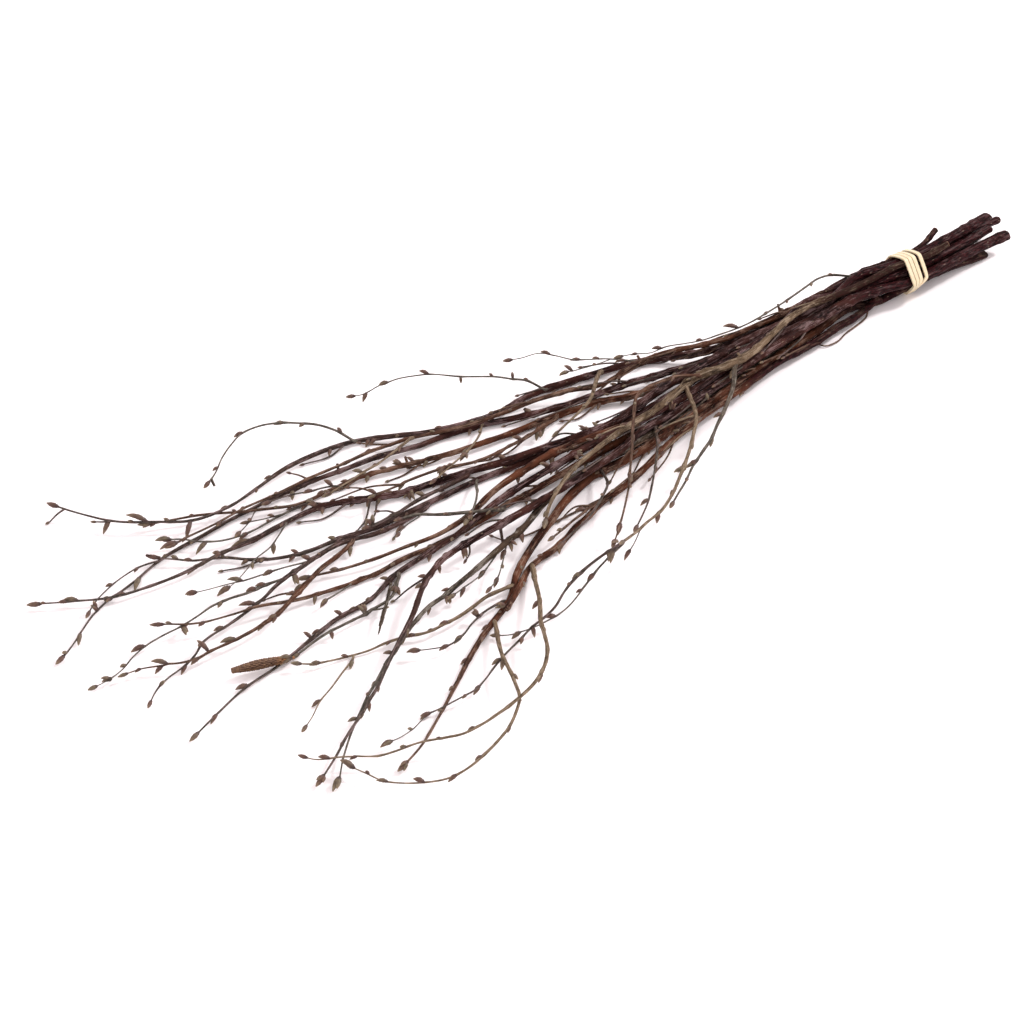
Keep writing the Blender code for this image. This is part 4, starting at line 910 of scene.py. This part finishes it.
def bud_scales():
    """Dry bud scales: dark red brown at the foot, brown or olive in the belly, and pale and
    papery at the point, so that each bud stands out from its twig."""
    made, tree, shader = blank("birch_bud_scales", 0.55)
    grain = add(tree, "Attribute", {"attribute_name": "grain"}).outputs["Vector"]
    age = add(tree, "Attribute", {"attribute_name": "age"}).outputs["Fac"]
    tone = add(tree, "Attribute", {"attribute_name": "tone"}).outputs["Fac"]
    long_way = add(tree, "Mapping", (), {"Vector": grain,
                                         "Scale": (1.0, 1.0, VEIN_STRETCH)}).outputs[0]
    veins = add(tree, "TexNoise", (), {"Vector": long_way, "Scale": 1.0 / VEIN,
                                       "Detail": 4.0}).outputs["Fac"]
    leafy = add(tree, "MapRange", (), {0: tone, 1: 0.45, 2: 0.85}).outputs[0]
    belly = add(tree, "Mix", COLOURS, {0: leafy, 6: paint("#593b2d"), 7: paint("#665842")})
    foot = add(tree, "MapRange", (), {0: age, 1: 0.12, 2: 0.42}).outputs[0]
    body = add(tree, "Mix", COLOURS, {0: foot, 6: paint("#331a13"), 7: belly.outputs[2]})
    tip = add(tree, "MapRange", (), {0: age, 1: 0.62, 2: 0.98, 4: 0.6}).outputs[0]
    body = add(tree, "Mix", COLOURS, {0: tip, 6: body.outputs[2], 7: paint("#998566")})
    vein = add(tree, "MapRange", (), {0: veins, 1: 0.60, 2: 0.38, 4: 0.6}).outputs[0]
    body = add(tree, "Mix", COLOURS, {0: vein, 6: body.outputs[2], 7: paint("#35211a")})
    tree.links.new(body.outputs[2], shader.inputs["Base Color"])
    bump = add(tree, "Bump", (), {"Height": veins, "Strength": 0.6, "Distance": VEIN_DEPTH})
    tree.links.new(bump.outputs[0], shader.inputs["Normal"])
    return made


def set_down(piece, node):
    """Puts a piece in the place of its solid."""
    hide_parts(node)
    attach(piece, "root")


end_grain = cut_wood()
scales = bud_scales()


def set_out(shoots, coat, dark_end=0.0):
    """Grows each shoot on its bearer. A stem's bark is drawn darker over this length from its cut
    end.
    """
    for name, bearer in shoots.items():
        length = dark_end if name.startswith("stem") else 0.0
        set_down(grow(name, [coat, end_grain, scales], bearer, length), name)


plum_bark = bark("plum_birch_bark", deep="#080404", middle="#2a1715", light="#482a24",
                 young="#5b544d", film_and_highlight="#866f6e", speck="#90806e", gloss=0.44, dark_end="#351416")
set_out(DARK_SHOOTS, plum_bark, DARK_LENGTH)

# The brown stems and their side twigs
# The same wood with a redder, drier bark, drawn as dark as the rest near the cut end. One of
# them forks just before the band into the stout front stem, which has lost its tip.
BROWN_SHOOTS = {
    "stem_crest": None, "stem_third": None, "stem_arched": None, "stem_middle": None,
    "stem_near": None, "stem_front": "stem_near", "twig_third_side": "stem_third",
    "twig_left_lower": "twig_left_long", "twig_front_side": "stem_front",
    "twig_red_arch": "stem_tan"}
brown_bark = bark("red_brown_birch_bark", deep="#0c0504", middle="#371d16", light="#633a28",
                  young="#625045", film_and_highlight="#8c7262", speck="#8e7a66", gloss=0.48, dark_end="#301315")
set_out(BROWN_SHOOTS, brown_bark, DARK_LENGTH)

# The tan stem and the tan twigs
# Dead shoots whose bark has weathered to a pinkish straw. It is dull and lightly furrowed,
# and is drawn as dark as the others only near the cut end, past the band.
TAN_LENGTH = 74.0
TAN_SHOOTS = {
    "stem_tan": None, "twig_tan_bridge": "stem_far", "twig_tan_cross": "stem_second",
    "twig_tan_fork": "stem_crest", "twig_tan_sweep": "stem_near",
    "twig_tan_sweep_side": "twig_tan_sweep", "twig_outer_loop": "stem_front",
    "twig_inner_loop": "stem_near", "twig_tan_drop": "stem_tan"}
tan_bark = bark("weathered_birch_bark", deep="#261b14", middle="#5a4a3a", light="#735f4c",
                young="#847360", film_and_highlight="#9c8a76", speck="#a29280", gloss=0.6, dark_end="#2c1413")
set_out(TAN_SHOOTS, tan_bark, TAN_LENGTH)

# The grey stem and the fine grey twigs
# The thinnest twigs keep a dull grey film over olive bark. They fork off the stems and off each
# other, and most of the bundle's tips are these.
GREY_SHOOTS = {
    "stem_grey": None, "twig_crest_loop": "stem_crest", "twig_whip": "stem_far",
    "twig_whip_side": "twig_whip", "twig_long_curl": "stem_far", "twig_round_curl": "stem_far",
    "twig_short_drop": "stem_fifth", "twig_grey_arm": "stem_middle",
    "twig_grey_tip": "twig_grey_arm", "twig_wavy": "stem_third", "twig_wavy_side": "twig_wavy",
    "twig_zigzag": "stem_fourth", "twig_left_upper": "twig_left_long",
    "twig_left_middle": "twig_left_long", "twig_middle_side": "stem_middle",
    "twig_catkin": "stem_forked", "twig_grey_side": "stem_grey", "twig_grey_drop": "stem_grey",
    "twig_long_drop": "stem_tan", "twig_drop_tip": "twig_tan_drop",
    "twig_low_run_side": "twig_tan_drop", "twig_low_run_tip": "twig_low_run"}
grey_bark = bark("grey_film_birch_bark", deep="#15100d", middle="#35281f", light="#4c3d31",
                 young="#68625a", film_and_highlight="#8e867c", speck="#948a7a", gloss=0.52)
set_out(GREY_SHOOTS, grey_bark)

# The frayed twig
# A snapped side shoot whose bark and wood have split into ragged dry strips. They hold
# together at the root and stand apart further out.
STRIPS = 18
STRIP_ROOT = 0.25
STRIP_SPREAD = 0.75
STRIP_TWIST_LENGTH = 9.0
STRIP_WAVE = 7.0
STRIP_PART = (0.62, 1.0)
STRIP_RADII = (0.50, 0.30)
STRIP_VARIES = (0.7, 1.2)
STRIP_RAGGED = 0.35
STRIP_RAG_LENGTH = 2.2
STRIP_SIDES = 6
STRIP_AGE = 0.6
STRIP_FLAT = 0.5


def fray(name, coats, bearer):
    """The strips, which start together inside the bearer and spread towards the tip."""
    dice = np.random.default_rng(7)
    wire = wires[name]
    row = distances(wire[:, :3])
    part = row / row[-1]
    side, over = across_line(wire[:, :3])
    base = nearest_on(wires[bearer], wire[0, :3])[0]
    made = Growth(name + "_strips")
    for strip in range(STRIPS):
        turn = 2.0 * math.pi * strip / STRIPS + 2.0 * wander(row, STRIP_TWIST_LENGTH, dice)
        sway = 0.5 + 0.5 * wander(row, STRIP_WAVE, dice)
        out = wire[:, 3] * (STRIP_ROOT + STRIP_SPREAD * part * sway)
        points = (wire[:, :3] + side * (np.cos(turn) * out)[:, None]
                  + over * (np.sin(turn) * out)[:, None])
        last = int(len(row) * dice.uniform(*STRIP_PART))
        points = np.concatenate([[base, wire[0, :3]], points[1:last]])
        thin = np.linspace(*STRIP_RADII, len(points)) * dice.uniform(*STRIP_VARIES)
        thin *= 1.0 + STRIP_RAGGED * wander(distances(points), STRIP_RAG_LENGTH, dice)
        made.loft(points, thin, STRIP_SIDES, STRIP_AGE, dice.uniform(), SKIN, flat=STRIP_FLAT)
    return made.piece(coats)


set_down(fray("twig_frayed", [grey_bark], "stem_forked"), "twig_frayed")

# The catkin
# A dry male catkin, left from last year. Its small brown scales overlap like roof tiles round
# a thin spindle, and its foot is still wrapped in three orange bud scales.
CATKIN_ROW = 1.15
CATKIN_ENDS = (0.6, 0.4)
CATKIN_ROUND = 9
SPINDLE_SHARE = 0.82
SPINDLE_SIDES = 12
SPINDLE_TONE = 0.3
CATKIN_NOSE = 1.6
CATKIN_NOSE_AT = (0.5, 0.85, 1.0)
CATKIN_NOSE_RADII = (0.75, 0.4, 0.1)
SPECKLE = 0.8
SPECKLE_DEPTH = 0.2 * MM
SCALE_LENGTH = 2.1
SCALE_AT = (0.0, 0.3, 0.62, 0.88, 1.0)
SCALE_RADII = (0.3, 0.62, 0.8, 0.6, 0.2)
SCALE_SIDES = 6
SCALE_FLAT = 0.42
SCALE_FOOT = 0.62
SCALE_ARCH = 0.25
SCALE_LIFT = 0.18
SCALE_SHIFT = 0.12
FOOT_SCALES = 3
FOOT_TURN = 0.4
FOOT_REACH = 5.2
FOOT_BACK = 1.2
FOOT_SPREAD = (0.3, 0.5)
FOOT_WIDTH = 2.6
FOOT_TONE = 0.8


def catkin_coat():
    """Dry catkin scales: brown shields with dark specks, orange towards the foot."""
    made, tree, shader = blank("dry_catkin_scales", 0.72)
    grain = add(tree, "Attribute", {"attribute_name": "grain"}).outputs["Vector"]
    age = add(tree, "Attribute", {"attribute_name": "age"}).outputs["Fac"]
    tone = add(tree, "Attribute", {"attribute_name": "tone"}).outputs["Fac"]
    speckle = add(tree, "TexNoise", (), {"Vector": grain, "Scale": 1.0 / SPECKLE,
                                         "Detail": 4.0}).outputs["Fac"]
    colour = add(tree, "Mix", COLOURS, {0: tone, 6: paint("#5c3e2c"), 7: paint("#7d5d42")})
    foot = add(tree, "MapRange", (), {0: age, 1: 0.75, 2: 0.95, 4: 0.8}).outputs[0]
    colour = add(tree, "Mix", COLOURS, {0: foot, 6: colour.outputs[2], 7: paint("#93602f")})
    dark = add(tree, "MapRange", (), {0: speckle, 1: 0.60, 2: 0.35, 4: 0.7}).outputs[0]
    colour = add(tree, "Mix", COLOURS, {0: dark, 6: colour.outputs[2], 7: paint("#3e281c")})
    tree.links.new(colour.outputs[2], shader.inputs["Base Color"])
    bump = add(tree, "Bump", (), {"Height": speckle, "Strength": 0.6, "Distance": SPECKLE_DEPTH})
    tree.links.new(bump.outputs[0], shader.inputs["Normal"])
    return made


def grow_catkin():
    """The spindle with its nose, rows of scales that overlap towards the nose, and the foot."""
    dice = np.random.default_rng(19)
    wire = wires["catkin"]
    row = distances(wire[:, :3])
    side, over = across_line(wire[:, :3])
    stalk, _, thick = nearest_on(wires["twig_catkin"], wire[0, :3])
    made = Growth("catkin_scales_and_spindle")
    out = unit(wire[-1, :3] - wire[-2, :3])
    nose = wire[-1, :3] + out * CATKIN_NOSE * np.reshape(CATKIN_NOSE_AT, (-1, 1))
    points = np.concatenate([[stalk], wire[:, :3], nose])
    age = np.concatenate([[1.0], 1.0 - row / row[-1], np.zeros(len(nose))])
    thin = wire[-1, 3] * np.array(CATKIN_NOSE_RADII)
    radii = np.concatenate([[thick], wire[:, 3] * SPINDLE_SHARE, thin])
    made.loft(points, radii, SPINDLE_SIDES, age, SPINDLE_TONE, SKIN)
    rows = np.arange(CATKIN_ENDS[0], row[-1] + CATKIN_ENDS[1], CATKIN_ROW)
    for number, mark in enumerate(rows):
        middle, way, radius = on_wire("catkin", mark)
        near = int(np.argmin(abs(row - mark)))
        for turn in range(CATKIN_ROUND):
            angle = 2.0 * math.pi * (turn + 0.5 * (number % 2)) / CATKIN_ROUND
            angle += dice.uniform(-SCALE_SHIFT, SCALE_SHIFT)
            aside = side[near] * math.cos(angle) + over[near] * math.sin(angle)
            foot = middle + aside * radius * SCALE_FOOT
            edge = middle + way * SCALE_LENGTH + aside * (radius + dice.uniform(0.0, SCALE_LIFT))
            parts = np.reshape(SCALE_AT, (-1, 1))
            arch = aside * SCALE_ARCH * np.sin(parts * math.pi)
            made.loft(foot * (1.0 - parts) + edge * parts + arch, SCALE_RADII, SCALE_SIDES,
                      1.0 - mark / row[-1], dice.uniform(), SKIN, flat=SCALE_FLAT)
    for turn in range(FOOT_SCALES):
        angle = 2.0 * math.pi * turn / FOOT_SCALES + FOOT_TURN
        spread = side[0] * math.cos(angle) + over[0] * math.sin(angle)
        root = wire[0, :3] - out * FOOT_BACK + spread * FOOT_SPREAD[0]
        tip = wire[0, :3] + out * FOOT_REACH + spread * (wire[3, 3] + FOOT_SPREAD[1])
        made.bud(root, tip, FOOT_WIDTH, FOOT_TONE)
    return made.piece([catkin_coat(), end_grain, scales])


set_down(grow_catkin(), "catkin")

# The rubber band
# A flat band cut from a tube of natural rubber, doubled and wound round the stems. Cream
# rubber is soft and slightly see-through, so its edges look warm, and dust dulls it.
BAND_CREASE = 0.55
BAND_CORNER = math.radians(60.0)
RUBBER_CLOUD = 6.0 * MM
# Dust is finer than 0.1 mm. It is drawn in coarser specks, so that it shows.
RUBBER_DUST = 1.1 * MM
DUST_DEPTH = 0.2 * MM
GLOW_DEPTH = 1.0 * MM


def rubber():
    """Natural rubber: cream with cloudy tone, and a dull bloom of dust."""
    made, tree, shader = blank("natural_rubber", 0.5, 1.52)
    place = add(tree, "TexCoord").outputs["Object"]
    cloud = add(tree, "TexNoise", (), {"Vector": place, "Scale": 1.0 / RUBBER_CLOUD,
                                       "Detail": 3.0}).outputs["Fac"]
    grit = add(tree, "TexNoise", (), {"Vector": place, "Scale": 1.0 / RUBBER_DUST,
                                      "Detail": 4.0}).outputs["Fac"]
    colour = add(tree, "Mix", COLOURS, {0: cloud, 6: paint("#d9ccac"), 7: paint("#ccb998")})
    dusty = add(tree, "MapRange", (), {0: grit, 1: 0.55, 2: 0.75, 4: 0.35}).outputs[0]
    colour = add(tree, "Mix", COLOURS, {0: dusty, 6: colour.outputs[2], 7: paint("#b4947c")})
    tree.links.new(colour.outputs[2], shader.inputs["Base Color"])
    bump = add(tree, "Bump", (), {"Height": grit, "Strength": 0.35, "Distance": DUST_DEPTH})
    tree.links.new(bump.outputs[0], shader.inputs["Normal"])
    shader.inputs["Subsurface Weight"].default_value = 0.15
    shader.inputs["Subsurface Radius"].default_value = (1.0, 0.6, 0.35)
    shader.inputs["Subsurface Scale"].default_value = GLOW_DEPTH
    return made


def wind_band():
    """The band's own solid, with its facets joined and rounded but its edges kept."""
    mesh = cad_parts["rubber_band"].data.copy()
    shape = bmesh.new()
    shape.from_mesh(mesh)
    bmesh.ops.remove_doubles(shape, verts=shape.verts, dist=WELD)
    bmesh.ops.join_triangles(shape, faces=shape.faces, angle_face_threshold=BAND_CORNER,
                             angle_shape_threshold=BAND_CORNER)
    crease = shape.edges.layers.float.new("crease_edge")
    for edge in shape.edges:
        if edge.calc_face_angle(0.0) > BAND_CORNER:
            edge[crease] = BAND_CREASE
    shape.to_mesh(mesh)
    shape.free()
    mesh.materials.clear()
    mesh.materials.append(rubber())
    mesh.shade_smooth()
    made = bpy.data.objects.new("wound_band", mesh)
    bpy.context.scene.collection.objects.link(made)
    rounding = made.modifiers.new("rounding", "SUBSURF")
    rounding.levels = 3
    rounding.render_levels = 3
    return made


set_down(wind_band(), "rubber_band")

# The table and the light
# A plain white laminate table. One soft lamp stands past the cut ends, in line with the
# bundle, and white walls send so much light back that only thick parts keep a shadow.
TABLE_HALF = 3000.0 * MM
TABLE_CLOUD = 250.0 * MM
# The lamp's place and size are in metres
LAMP_PLACE = (1.99, -0.37, 1.6)
LAMP_SIZE = 0.32
LAMP_POWER = 44.0
WALLS = 1.29


def table():
    """White laminate: a dull white with the faintest clouding."""
    made, tree, shader = blank("white_laminate", 0.6)
    place = add(tree, "TexCoord").outputs["Object"]
    cloud = add(tree, "TexNoise", (), {"Vector": place, "Scale": 1.0 / TABLE_CLOUD,
                                       "Detail": 2.0}).outputs["Fac"]
    colour = add(tree, "Mix", COLOURS, {0: cloud, 6: paint("#fbf7f7"), 7: paint("#f6f1f2")})
    tree.links.new(colour.outputs[2], shader.inputs["Base Color"])
    mesh = bpy.data.meshes.new("table")
    corners = [(-TABLE_HALF, -TABLE_HALF, 0.0), (TABLE_HALF, -TABLE_HALF, 0.0),
               (TABLE_HALF, TABLE_HALF, 0.0), (-TABLE_HALF, TABLE_HALF, 0.0)]
    mesh.from_pydata(corners, [], [(0, 1, 2, 3)])
    mesh.materials.append(made)
    top = bpy.data.objects.new("table", mesh)
    bpy.context.scene.collection.objects.link(top)
    return top


table()

glow = bpy.data.lights.new("lamp", "AREA")
glow.shape = "SQUARE"
glow.size = LAMP_SIZE
glow.energy = LAMP_POWER
lamp = bpy.data.objects.new("lamp", glow)
lamp.location = LAMP_PLACE
toward = -np.array(LAMP_PLACE)
lamp.rotation_euler = (math.atan2(math.hypot(toward[0], toward[1]), -toward[2]), 0.0,
                       math.atan2(toward[1], toward[0]) - math.pi / 2.0)
bpy.context.scene.collection.objects.link(lamp)

walls = bpy.data.worlds.new("white_walls")
walls.use_nodes = True
walls.node_tree.nodes["Background"].inputs["Color"].default_value = paint("#fff8f9")
walls.node_tree.nodes["Background"].inputs["Strength"].default_value = WALLS
bpy.context.scene.world = walls
bpy.context.scene.view_settings.view_transform = "Standard"
